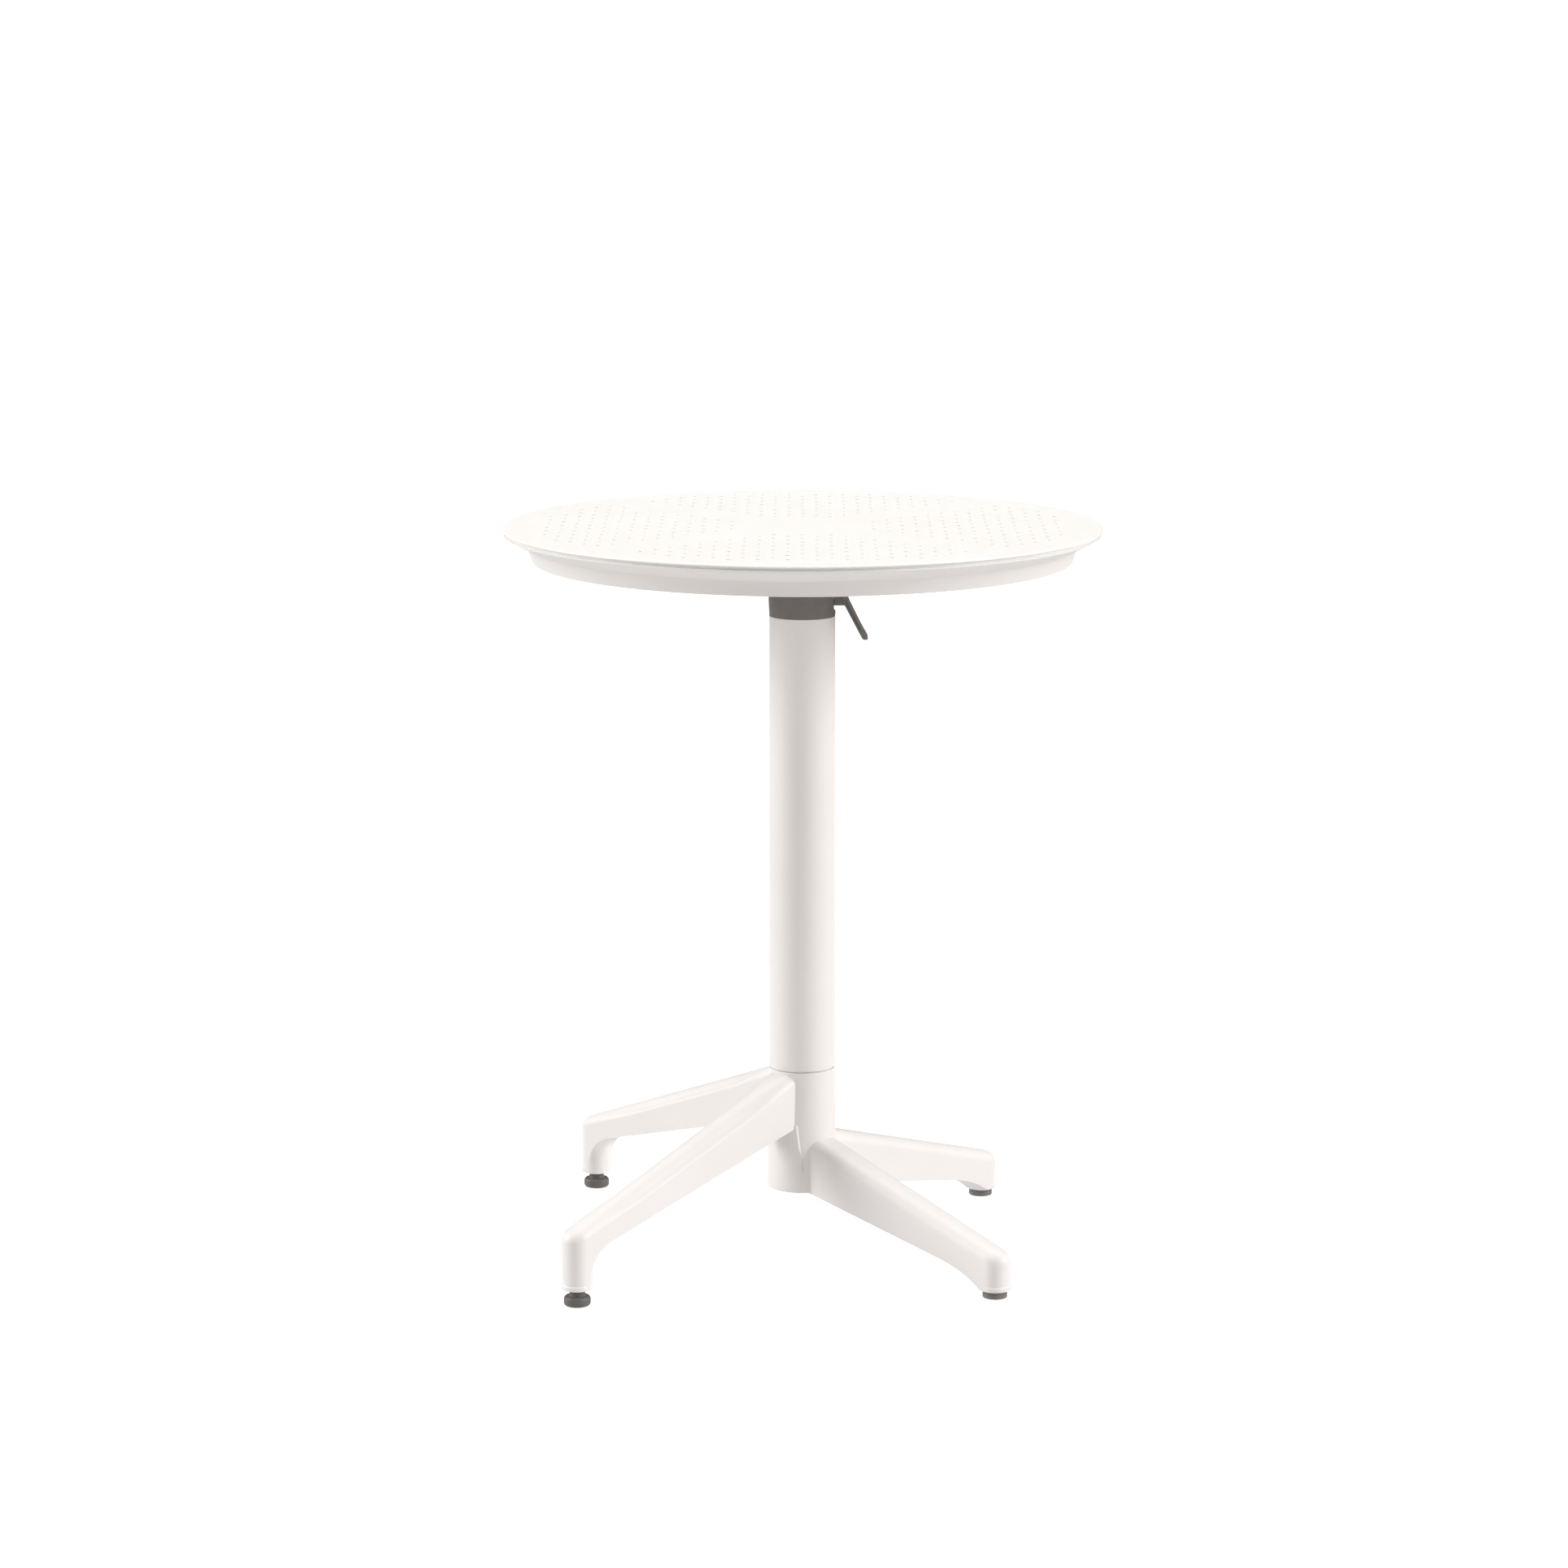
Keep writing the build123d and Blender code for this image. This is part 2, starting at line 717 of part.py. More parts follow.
with BuildPart() as apron_frame:
    with BuildSketch(Plane.XZ):
        with BuildLine():
            underlip = Line((lip_outer, panel_bottom), (lip_inner, lip_inner_height))
            ThreePointArc(
                (lip_inner, lip_inner_height),
                (lip_inner - 4.2, lip_inner_height - 1.0),
                (apron_shoulder, apron_shoulder_height),
            )
            Polyline(
                (apron_shoulder, apron_shoulder_height),
                (apron_bottom_radius, apron_bottom),
                (apron_bottom_radius - apron_wall, apron_bottom),
                (apron_shoulder - apron_wall, apron_shoulder_height),
                (frame_ring_inner, panel_bottom),
                (lip_outer, panel_bottom),
            )
        make_face()
    revolve(axis=Axis.Z)
    # middle plate with a wall round it
    with BuildSketch(Plane.XY.offset(bracket_top)):
        Circle(boss_plate_radius)
    extrude(amount=boss_plate_top - bracket_top)
    with BuildSketch(Plane.XY.offset(boss_plate_top)):
        Circle(boss_plate_radius)
        Circle(boss_plate_radius - boss_wall, mode=Mode.SUBTRACT)
        with Locations(*screw_points):
            Circle(screw_boss_radius)
    extrude(amount=panel_bottom - boss_plate_top)
    # two ribs along each diagonal, with bosses between them for the panel's screws
    with BuildSketch(Plane.XY.offset(rib_bottom)):
        with PolarLocations((rib_inner + rib_outer) / 2, 4, start_angle=45):
            with Locations((0, rib_offset), (0, -rib_offset)):
                Rectangle(rib_outer - rib_inner, rib_thickness)
        for reach in panel_screw_reaches:
            with PolarLocations(reach, 4, start_angle=45):
                Circle(panel_screw_boss_radius)
                Rectangle(rib_thickness, 2 * rib_offset)
    extrude(amount=panel_bottom - rib_bottom)
    # screw holes
    with BuildSketch(Plane.XY.offset(bracket_top)):
        with Locations(*screw_points):
            Circle(bracket_screw_radius)
    extrude(amount=screw_bore_top - bracket_top, mode=Mode.SUBTRACT)
    with BuildSketch(Plane.XY.offset(rib_bottom)):
        for reach in panel_screw_reaches:
            with PolarLocations(reach, 4, start_angle=45):
                Circle(panel_screw_radius)
    extrude(amount=panel_bottom - rib_bottom, mode=Mode.SUBTRACT)
apron_frame.part.label = "apron_frame"
export_step(apron_frame.part, "parts/apron_frame.step")

with BuildPart() as panel_screws:
    for reach in panel_screw_reaches:
        with BuildSketch(Plane.XY.offset(rib_bottom)):
            with PolarLocations(reach, 4, start_angle=45):
                Circle(panel_screw_head_radius)
        extrude(amount=-panel_screw_head_height)
        with BuildSketch(Plane.XY.offset(rib_bottom)):
            with PolarLocations(reach, 4, start_angle=45):
                Circle(panel_screw_radius)
        extrude(amount=panel_screw_top - rib_bottom)
panel_screws.part.label = "panel_screws"
export_step(panel_screws.part, "parts/panel_screws.step")


# ------------------------------------------------------------------ table top
# A flat round panel with a rolled edge. Its holes lie on a square grid turned by 45 degrees,
# which leaves a plain X-shaped band over the frame's ribs and a plain round middle.

edge_flat_radius = 296.5
edge_widest_height = 738.5
edge_foot_radius = 298.9
diagonal_share = 1 / sqrt(2)


def perforation_points():
    """The grid's points that fall in one of the four perforated fields."""
    steps = int(top_radius / hole_pitch) + 1
    places = [hole_pitch * (step + 0.5) for step in range(-steps, steps)]
    points = []
    for along in places:
        for across in places:
            reach = sqrt(along**2 + across**2)
            in_field = min(abs(along), abs(across)) > plain_band_half
            if in_field and perforation_inner < reach < perforation_outer:
                points.append(
                    ((along - across) * diagonal_share, (along + across) * diagonal_share)
                )
    return points


with BuildPart() as table_top:
    with BuildSketch(Plane.XZ):
        with BuildLine():
            Polyline((0, table_height), (0, panel_bottom), (edge_foot_radius, panel_bottom))
            Line((edge_foot_radius, panel_bottom), (top_radius, edge_widest_height))
            RadiusArc(
                (top_radius, edge_widest_height),
                (edge_flat_radius, table_height),
                -(table_height - edge_widest_height),
            )
            Line((edge_flat_radius, table_height), (0, table_height))
        make_face()
    revolve(axis=Axis.Z)
    with BuildSketch(Plane.XY.offset(panel_bottom)):
        with Locations(*perforation_points()):
            Circle(hole_radius)
    extrude(amount=panel_thickness, mode=Mode.SUBTRACT)
    with BuildSketch(Plane.XY.offset(panel_bottom)):
        for reach in panel_screw_reaches:
            with PolarLocations(reach, 4, start_angle=45):
                Circle(panel_screw_radius)
    extrude(amount=panel_screw_top - panel_bottom, mode=Mode.SUBTRACT)
table_top.part.label = "table_top"
export_step(table_top.part, "parts/table_top.step")

print("perforations:", len(perforation_points()))
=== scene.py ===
"""A tilt-top bistro table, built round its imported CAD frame.

+Z is up, the origin is on the floor under the column, and +X is the side of the release lever.
Blender's units are metres. The mesh code works in millimetres, and finish_piece turns each
finished mesh into metres.
"""

import json
from math import acos, cos, hypot, pi, radians, sin, sqrt, tan
from types import SimpleNamespace

import bmesh
import bpy
from mathutils import Matrix, Vector
from mathutils.geometry import delaunay_2d_cdt


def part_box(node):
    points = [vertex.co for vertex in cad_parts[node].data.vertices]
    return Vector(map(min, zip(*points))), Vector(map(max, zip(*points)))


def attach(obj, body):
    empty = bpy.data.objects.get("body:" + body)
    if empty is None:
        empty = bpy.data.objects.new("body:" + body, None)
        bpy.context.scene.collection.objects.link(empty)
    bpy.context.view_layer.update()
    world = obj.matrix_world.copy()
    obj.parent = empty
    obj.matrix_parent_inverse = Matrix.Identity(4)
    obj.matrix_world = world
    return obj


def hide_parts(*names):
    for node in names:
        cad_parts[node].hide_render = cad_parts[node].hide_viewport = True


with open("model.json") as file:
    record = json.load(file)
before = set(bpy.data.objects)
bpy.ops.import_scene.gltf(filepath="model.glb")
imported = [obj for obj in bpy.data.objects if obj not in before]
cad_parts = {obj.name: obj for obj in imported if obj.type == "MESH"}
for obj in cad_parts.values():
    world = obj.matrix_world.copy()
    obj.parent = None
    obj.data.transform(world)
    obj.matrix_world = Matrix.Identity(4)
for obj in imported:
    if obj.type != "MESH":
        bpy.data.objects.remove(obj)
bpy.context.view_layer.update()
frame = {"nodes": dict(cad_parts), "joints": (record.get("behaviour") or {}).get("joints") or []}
nodes = frame["nodes"]

mm = 0.001


def corners(node):
    """A CAD node's lowest and highest corner, in millimetres."""
    low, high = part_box(node)
    return low / mm, high / mm


# ---- sizes taken from the frame

top_low, top_high = corners("table_top")
top_radius = min(top_high.x, top_high.y, -top_low.x, -top_low.y)
table_height = top_high.z
panel_bottom = top_low.z

tube_low, tube_high = corners("column_tube")
column_radius = tube_high.x
seam_height = tube_low.z
collar_bottom = tube_high.z

apron_bottom = corners("apron_frame")[0].z
spigot_top = corners("base_casting")[1].z
head_bottom = corners("column_head")[0].z
lever_half = corners("release_lever")[1].y
bracket_low, bracket_high = corners("tilt_bracket")
stud_bottom = corners("front_left_glide_stud")[0].z

hinge_points = {
    joint["name"]: Vector(joint["pos_m"]) / mm for joint in frame["joints"] if joint["type"] == "hinge"
}
pivot = hinge_points["top_tilt"]
lever_axis = hinge_points["lever_pull"]
diagonals = (45, 135, 225, 315)


# ---- mesh helpers


def in_scene(name, data):
    """A new object in the scene."""
    obj = bpy.data.objects.new(name, data)
    bpy.context.scene.collection.objects.link(obj)
    return obj


def solid(bm):
    """A mesh object, still in millimetres, from a bmesh, which is freed."""
    bmesh.ops.remove_doubles(bm, verts=bm.verts, dist=0.0004)
    bmesh.ops.recalc_face_normals(bm, faces=bm.faces)
    mesh = bpy.data.meshes.new("solid")
    bm.to_mesh(mesh)
    bm.free()
    return in_scene("solid", mesh)


def settle(obj):
    """Applies an object's modifiers."""
    graph = bpy.context.evaluated_depsgraph_get()
    mesh = bpy.data.meshes.new_from_object(obj.evaluated_get(graph))
    old = obj.data
    obj.modifiers.clear()
    obj.data = mesh
    bpy.data.meshes.remove(old)


def combine(target, operation, tools):
    """Adds solids to a target or cuts them from it, and removes them."""
    for tool in tools:
        modifier = target.modifiers.new(operation, "BOOLEAN")
        modifier.operation = operation
        modifier.solver = "MANIFOLD"
        modifier.object = tool
    settle(target)
    if not target.data.polygons:
        raise RuntimeError("a " + operation + " left nothing")
    for tool in tools:
        mesh = tool.data
        bpy.data.objects.remove(tool)
        bpy.data.meshes.remove(mesh)


def finish_piece(obj, name, body, slot, *replaced, material=None, crease=32):
    """Names a solid, shades it, turns it into metres and hangs it on its body."""
    obj.name = name
    obj.data.shade_smooth()
    obj.data.set_sharp_from_angle(angle=radians(crease))
    weighted = obj.modifiers.new("normals", "WEIGHTED_NORMAL")
    weighted.keep_sharp = True
    settle(obj)
    obj.data.name = name
    obj.data.transform(Matrix.Scale(mm, 4))
    obj.data.materials.clear()
    obj.data.materials.append(material or materials[slot])
    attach(obj, body)
    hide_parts(*replaced)


def rounded(points, steps=4):
    """A closed outline whose corners (x, y, radius) become arcs."""
    outline = []
    count = len(points)
    for index, (x, y, radius) in enumerate(points):
        corner = Vector((x, y))
        if radius == 0:
            outline.append(corner)
            continue
        to_last = (Vector(points[index - 1][:2]) - corner).normalized()
        to_next = (Vector(points[(index + 1) % count][:2]) - corner).normalized()
        half = to_last.angle(to_next) / 2
        centre = corner + (to_last + to_next).normalized() * radius / sin(half)
        first = corner + to_last * radius / tan(half) - centre
        last = corner + to_next * radius / tan(half) - centre
        turn = first.angle_signed(last)
        for step in range(steps + 1):
            swung = first.copy()
            swung.rotate(Matrix.Rotation(-turn * step / steps, 2))
            outline.append(centre + swung)
    return outline


def skin(bm, first, second, closed=False):
    """Faces between two rows of vertices, leaving out those that have shrunk to a line."""
    count = len(first)
    for step in range(count if closed else count - 1):
        after = (step + 1) % count
        ring = [first[step], first[after], second[after], second[step]]
        face = [vert for index, vert in enumerate(ring) if vert is not ring[index - 1]]
        if len(set(face)) > 2:
            bm.faces.new(face)


def bands(bm, rows, closed=False):
    """Faces between each row of vertices and the next."""
    for row, next_row in zip(rows, rows[1:]):
        skin(bm, row, next_row, closed)


def add_turned(bm, profile, centre, segments):
    """Adds a closed (radius, height) outline, turned about an upright axis."""
    rings = []
    for radius, height in profile:
        if radius < 1e-6:
            rings.append([bm.verts.new((*centre, height))] * segments)
            continue
        ring = []
        for step in range(segments):
            angle = 2 * pi * step / segments
            place = (centre[0] + radius * cos(angle), centre[1] + radius * sin(angle), height)
            ring.append(bm.verts.new(place))
        rings.append(ring)
    bands(bm, [rings[-1], *rings], closed=True)


def turned(profile, segments, centre=(0.0, 0.0)):
    """A turned solid."""
    bm = bmesh.new()
    add_turned(bm, profile, centre, segments)
    return solid(bm)


def lofted(bm, rings):
    """A solid through closed rings of vertices, filled at both ends."""
    bands(bm, rings, closed=True)
    bm.faces.new(rings[0])
    bm.faces.new(rings[-1])
    return solid(bm)


def prism(outline, low, high, placing=None, edge=0.0, edge_steps=3):
    """An outline pushed from low to high along its own Z into a solid, with both rims rounded."""
    bm = bmesh.new()
    placing = placing or Matrix.Identity(4)
    rows = [[bm.verts.new(placing @ Vector((*point, level))) for point in outline] for level in (low, high)]
    skin(bm, *rows, closed=True)
    caps = [bm.faces.new(rows[0][::-1]), bm.faces.new(rows[1])]
    if edge:
        rims = list({rim for cap in caps for rim in cap.edges})
        bmesh.ops.bevel(
            bm, geom=rims, offset=edge, segments=edge_steps, profile=0.5, affect="EDGES", clamp_overlap=True
        )
    return solid(bm)


def arc(x, y, radius, angles):
    return [Vector((x + radius * cos(angle), y + radius * sin(angle))) for angle in angles]


def circle(x, y, radius, steps=32):
    """A round outline."""
    return arc(x, y, radius, [2 * pi * step / steps for step in range(steps)])


def half_circle(x, y, radius, side, steps=24):
    """The upper half of a round outline, or the lower half where side is -1."""
    return arc(x, y, radius, [side * pi * step / steps for step in range(steps + 1)])


def box_outline(left, right, front, back, radius=0.0, steps=4):
    """A rectangle with rounded corners."""
    plain = [(left, front, radius), (right, front, radius), (right, back, radius), (left, back, radius)]
    return rounded(plain, steps)


# An outline in (x, z) stands on this plane, and its own Z runs along -Y.
across_plane = Matrix(((1, 0, 0, 0), (0, 0, -1, 0), (0, 1, 0, 0), (0, 0, 0, 1)))


def about_z(degrees):
    return Matrix.Rotation(radians(degrees), 4, "Z")


def between(a, b, share):
    return a + (b - a) * share


def ease(share):
    """Smooth step from 0 to 1."""
    share = min(1.0, max(0.0, share))
    return share * share * (3 - 2 * share)


def smooth_through(keys, samples):
    """Evenly spread points on a smooth curve through key points."""
    ends = [2 * Vector(keys[0]) - Vector(keys[1])]
    ends += [Vector(key) for key in keys]
    ends += [2 * Vector(keys[-1]) - Vector(keys[-2])]
    spans = len(keys) - 1
    curve = []
    for sample in range(samples):
        place = spans * sample / (samples - 1)
        span = min(int(place), spans - 1)
        t = place - span
        p0, p1, p2, p3 = ends[span : span + 4]
        linear = (p2 - p0) * t
        square = (2 * p0 - 5 * p1 + 4 * p2 - p3) * t**2
        cube = (3 * p1 - p0 - 3 * p2 + p3) * t**3
        curve.append(0.5 * (2 * p1 + linear + square + cube))
    return curve


def spread(path, samples):
    """A polyline's points, spread evenly along its length."""
    lengths = [0.0]
    for last, point in zip(path, path[1:]):
        lengths.append(lengths[-1] + (point - last).length)
    result = []
    span = 0
    for sample in range(samples):
        wanted = lengths[-1] * sample / (samples - 1)
        while span < len(path) - 2 and lengths[span + 1] < wanted:
            span += 1
        share = (wanted - lengths[span]) / (lengths[span + 1] - lengths[span])
        result.append(between(path[span], path[span + 1], share))
    return result


# ---- materials


def srgb(red, green, blue):
    """A linear colour from 8-bit sRGB."""
    channels = []
    for value in (red, green, blue):
        value /= 255
        channels.append(value / 12.92 if value <= 0.04045 else ((value + 0.055) / 1.055) ** 2.4)
    return (*channels, 1.0)


def set_sockets(node, **values):
    """Sets a node's sockets by name. An underscore stands for a space."""
    for name, value in values.items():
        node.inputs[name.replace("_", " ")].default_value = value
    return node


def add_node(tree, kind, **values):
    return set_sockets(tree.nodes.new(kind), **values)


def noise(tree, place, grain, detail, stretch=(1, 1, 1)):
    """Noise whose features are about one grain wide, or cells of that width where detail is 0."""
    if not detail:
        texture = add_node(tree, "ShaderNodeTexVoronoi", Scale=1 / (grain * mm))
        tree.links.new(place, texture.inputs["Vector"])
        return texture.outputs["Distance"]
    mapping = add_node(tree, "ShaderNodeMapping", Scale=stretch)
    texture = add_node(tree, "ShaderNodeTexNoise", Scale=0.5 / (grain * mm), Detail=detail, Roughness=0.55)
    tree.links.new(place, mapping.inputs["Vector"])
    tree.links.new(mapping.outputs["Vector"], texture.inputs["Vector"])
    return texture.outputs["Fac"]


def remap(tree, source, low, high):
    """The middle of a noise's range, spread from low to high."""
    node = add_node(tree, "ShaderNodeMapRange", From_Min=0.3, From_Max=0.7, To_Min=low, To_Max=high)
    tree.links.new(source, node.inputs["Value"])
    return node.outputs["Result"]


def surface(name, roughness, mottle, shine, *reliefs, **sockets):
    """A Principled material with procedural grain. Grains and depths are in millimetres.

    mottle is (grain, detail, first colour, second colour), shine is (grain, detail, lowest
    roughness, highest) and a relief is (grain, detail, depth, strength), with a stretch after it
    if it has one.
    """
    material = bpy.data.materials.new(name)
    material.use_nodes = True
    tree = material.node_tree
    shader = set_sockets(tree.nodes["Principled BSDF"], Roughness=roughness, **sockets)
    place = tree.nodes.new("ShaderNodeTexCoord").outputs["Object"]
    grain, detail, *colours = mottle
    ramp = tree.nodes.new("ShaderNodeValToRGB")
    tree.links.new(remap(tree, noise(tree, place, grain, detail), 0, 1), ramp.inputs["Fac"])
    for element, colour in zip(ramp.color_ramp.elements, colours):
        element.color = srgb(*colour)
    tree.links.new(ramp.outputs["Color"], shader.inputs["Base Color"])
    grain, detail, low, high = shine
    tree.links.new(remap(tree, noise(tree, place, grain, detail), low, high), shader.inputs["Roughness"])
    normal = None
    for grain, detail, depth, strength, *stretch in reliefs:
        bump = add_node(tree, "ShaderNodeBump", Distance=depth * mm, Strength=strength)
        tree.links.new(noise(tree, place, grain, detail, *stretch), bump.inputs["Height"])
        if normal:
            tree.links.new(normal, bump.inputs["Normal"])
        normal = bump.outputs["Normal"]
    tree.links.new(normal, shader.inputs["Normal"])
    return material


def foot_polymer(name, dark, light):
    """Satin polymer with fine moulding rings."""
    rings = (0.5, 1, 0.02, 0.5, level_rings)
    return surface(name, 0.5, (3, 6, dark, light), (2, 5, 0.42, 0.58), (0.4, 3, 0.02, 0.8), rings)


# Stretches, reliefs, extra sockets, and the mottled colours of what each material imitates.
level_rings = (0.05, 0.05, 1)
peel = (16, 1, 0.16, 0.5)
drawn_peel = (14, 1, 0.05, 0.5, (1, 1, 0.25))
coat = {"Coat_Weight": 0.06, "Coat_Roughness": 0.35}
translucent = {"Subsurface_Weight": 0.15, "Subsurface_Radius": (0.002, 0.0018, 0.0014)}
pale = (239, 234, 230)
panel = (80, 3, (244, 241, 237), (246, 244, 240))
apron = (70, 3, pale, (242, 237, 234))
casting = (45, 3, pale, (242, 237, 234))
tube = (60, 3, pale, (242, 237, 233))
dark = (5, 6, (112, 107, 103), (118, 113, 109))
iron = (7, 6, (92, 89, 86), (108, 105, 102))
black = (2, 6, (60, 58, 56), (72, 70, 68))
blue_grey = (1.6, 5, (178, 180, 182), (205, 206, 206))
yellow = (2.5, 4, (196, 158, 92), (214, 180, 112))
natural = (2, 5, (222, 219, 208), (232, 230, 221))

materials = {
    "top_panel": surface(
        "panel_polymer", 0.5, panel, (6, 5, 0.44, 0.56), (0.55, 3, 0.02, 0.7), (30, 1, 0.05, 0.4)
    ),
    "apron": surface(
        "apron_polymer", 0.46, apron, (8, 4, 0.4, 0.52), (0.8, 3, 0.014, 0.6), (24, 1, 0.06, 0.4)
    ),
    "base_coat": surface(
        "powder_coat_on_casting", 0.48, casting, (9, 4, 0.43, 0.54), peel, (1.1, 2, 0.02, 0.6), **coat
    ),
    "column_coat": surface(
        "powder_coat_on_tube", 0.45, tube, (11, 4, 0.4, 0.5), drawn_peel, (1.0, 2, 0.018, 0.6), **coat
    ),
    "dark_polymer": surface(
        "dark_polymer", 0.55, dark, (3, 5, 0.5, 0.66), (0.45, 4, 0.035, 0.8), (7, 2, 0.05, 0.4, (1, 1, 0.3))
    ),
    "bracket_cast": surface(
        "bracket_coat", 0.5, iron, (3, 5, 0.42, 0.62), (2.2, 4, 0.12, 0.6), (0.5, 3, 0.03, 0.7)
    ),
    "glide_polymer": foot_polymer("glide_polymer", (97, 93, 90), (106, 102, 98)),
    # The pads wear a copy of the glide polymer that is painted lighter: painted light that makes up for the
    # shade near the floor, not a colour of their own.
    "glide_polymer_painted_lighter": foot_polymer("glide_polymer_painted_lighter", (116, 112, 108), (126, 122, 118)),
    "rubber": surface("rubber", 0.72, black, (1.5, 5, 0.65, 0.82), (0.35, 4, 0.03, 0.8)),
    "zinc_steel": surface(
        "zinc_plate", 0.32, blue_grey, (0.9, 0, 0.24, 0.42), (0.3, 4, 0.012, 0.7), Metallic=1.0
    ),
    "brass": surface(
        "turned_brass", 0.3, yellow, (0.8, 4, 0.22, 0.4), (0.25, 1, 0.02, 0.7, level_rings), Metallic=1.0
    ),
    "nylon": surface(
        "natural_nylon", 0.45, natural, (1.4, 4, 0.38, 0.55), (0.4, 3, 0.02, 0.6), **translucent
    ),
}

# The hidden hardware keeps its CAD meshes.
kept_nodes = {
    "zinc_steel": "tie_rod tie_rod_washers tie_rod_nuts pivot_pin pivot_clips lever_pin lever_spring",
    "brass": "glide_inserts",
    "nylon": "thrust_washers",
    "rubber": "bump_stops",
}
for slot, names in kept_nodes.items():
    for name in names.split():
        mesh = nodes[name].data
        for index in range(len(mesh.materials)):
            mesh.materials[index] = materials[slot]


# ---- table top
# A flat round panel with a rolled edge. Its holes lie on a square grid turned by 45 degrees,
# in four fields that leave a plain X-shaped band and a plain round middle.

hole_radius = 2.4
hole_pitch = 20.0
hole_lead_in = 0.15
plain_band_half = 20.0
perforation_inner = 65.0
perforation_outer = 267.0
edge_radius = 2.0
flat_radius = top_radius - edge_radius
rim_groove_top = table_height - 2.1
rim_groove_bottom = table_height - 5.2
rim_groove_depth = 3.0
foot_inset = 1.8
rim_steps = 256
roll_steps = 6
hole_steps = 16
rim_shape = circle(0, 0, 1, rim_steps)
hole_shape = circle(0, 0, 1, hole_steps)


def perforation_points():
    """The grid's points that fall in one of the four perforated fields."""
    steps = int(top_radius / hole_pitch) + 1
    places = [hole_pitch * (step + 0.5) for step in range(-steps, steps)]
    points = []
    for along in places:
        for across in places:
            in_field = min(abs(along), abs(across)) > plain_band_half
            if in_field and perforation_inner < hypot(along, across) < perforation_outer:
                points.append(((along - across) / sqrt(2), (along + across) / sqrt(2)))
    return points


def panel_plan(holes):
    """The panel's flat face: its points, the hole that each one rings (-1 for the rim), its faces."""
    flat_points = circle(0, 0, flat_radius, rim_steps)
    owner = [-1] * rim_steps
    edges = [(step, (step + 1) % rim_steps) for step in range(rim_steps)]
    for number, hole in enumerate(holes):
        first = len(flat_points)
        for step, point in enumerate(hole_shape):
            flat_points.append(Vector(hole) + point * (hole_radius + hole_lead_in))
            owner.append(number)
            edges.append((first + step, first + (step + 1) % hole_steps))
    points, _, faces, *_ = delaunay_2d_cdt(flat_points, edges, [], 0, 1e-5, False)
    outside = [face for face in faces if owner[face[0]] < 0 or len({owner[vert] for vert in face}) > 1]
    return points, owner, outside


def ring_of(bm, shape, centre, radius, height):
    """New vertices round a centre."""
    x, y = centre
    return [bm.verts.new((x + radius * point.x, y + radius * point.y, height)) for point in shape]


def rim_rows(bm):
    """The rolled edge, the shadow groove and the foot below it, from the top down."""
    rows = []
    for step in range(1, roll_steps + 1):
        angle = pi / 2 * (1 - step / roll_steps)
        radius = flat_radius + edge_radius * cos(angle)
        height = table_height - edge_radius * (1 - sin(angle))
        rows.append(ring_of(bm, rim_shape, (0, 0), radius, height))
    for inset, height in (
        (0.15, rim_groove_top),
        (rim_groove_depth, rim_groove_top - 0.2),
        (rim_groove_depth, rim_groove_bottom + 0.2),
        (1.2, rim_groove_bottom),
        (1.4, rim_groove_bottom - 0.2),
        (foot_inset - 0.15, panel_bottom + 0.2),
    ):
        rows.append(ring_of(bm, rim_shape, (0, 0), top_radius - inset, height))
    return rows


def make_table_top():
    """The two flat faces, the rim between them, and each hole's wall with a small lead-in."""
    holes = perforation_points()
    points, owner, faces = panel_plan(holes)
    bm = bmesh.new()
    levels = []
    for height, scale in ((table_height, 1.0), (panel_bottom, (top_radius - foot_inset) / flat_radius)):
        verts = []
        for point, number in zip(points, owner):
            stretch = scale if number < 0 else 1.0
            verts.append(bm.verts.new((point.x * stretch, point.y * stretch, height)))
        levels.append(verts)
        for face in faces:
            bm.faces.new([verts[index] for index in face])
    top, bottom = levels
    bands(bm, [top[:rim_steps], *rim_rows(bm), bottom[:rim_steps]], closed=True)
    for number, hole in enumerate(holes):
        first = rim_steps + number * hole_steps
        ring = slice(first, first + hole_steps)
        walls = [
            ring_of(bm, hole_shape, hole, hole_radius, height)
            for height in (table_height - hole_lead_in, panel_bottom + hole_lead_in)
        ]
        bands(bm, [top[ring], *walls, bottom[ring]], closed=True)
    return solid(bm)


finish_piece(make_table_top(), "perforated_panel", "tabletop", "top_panel", "table_top", crease=50)


# ---- apron frame
# The moulded ring under the panel, with paired ribs on the diagonals, bosses for the panel's
# screws and a walled plate in the middle for the bracket.

frame_top = panel_bottom
plate_radius = 62.0
plate_bottom = bracket_high.z
plate_top = plate_bottom + 6.0
plate_wall = 3.0
screw_points = [(46.0 * x_side, 24.0 * y_side) for x_side in (-1, 1) for y_side in (-1, 1)]
bracket_screw_radius = 3.0
bracket_thread_top = 728.0
screw_boss_radius = 7.0
rib_bottom = 712.0
rib_offset = 13.0
rib_thickness = 3.0
rib_draft = 0.4
rib_inner = 58.0
rib_outer = 269.5
panel_screw_reaches = (150.0, 252.0)
panel_screw_points = [
    about_z(heading) @ Vector((reach, 0, 0)) for heading in diagonals for reach in panel_screw_reaches
]
panel_screw_boss_radius = 6.0
panel_screw_radius = 2.0

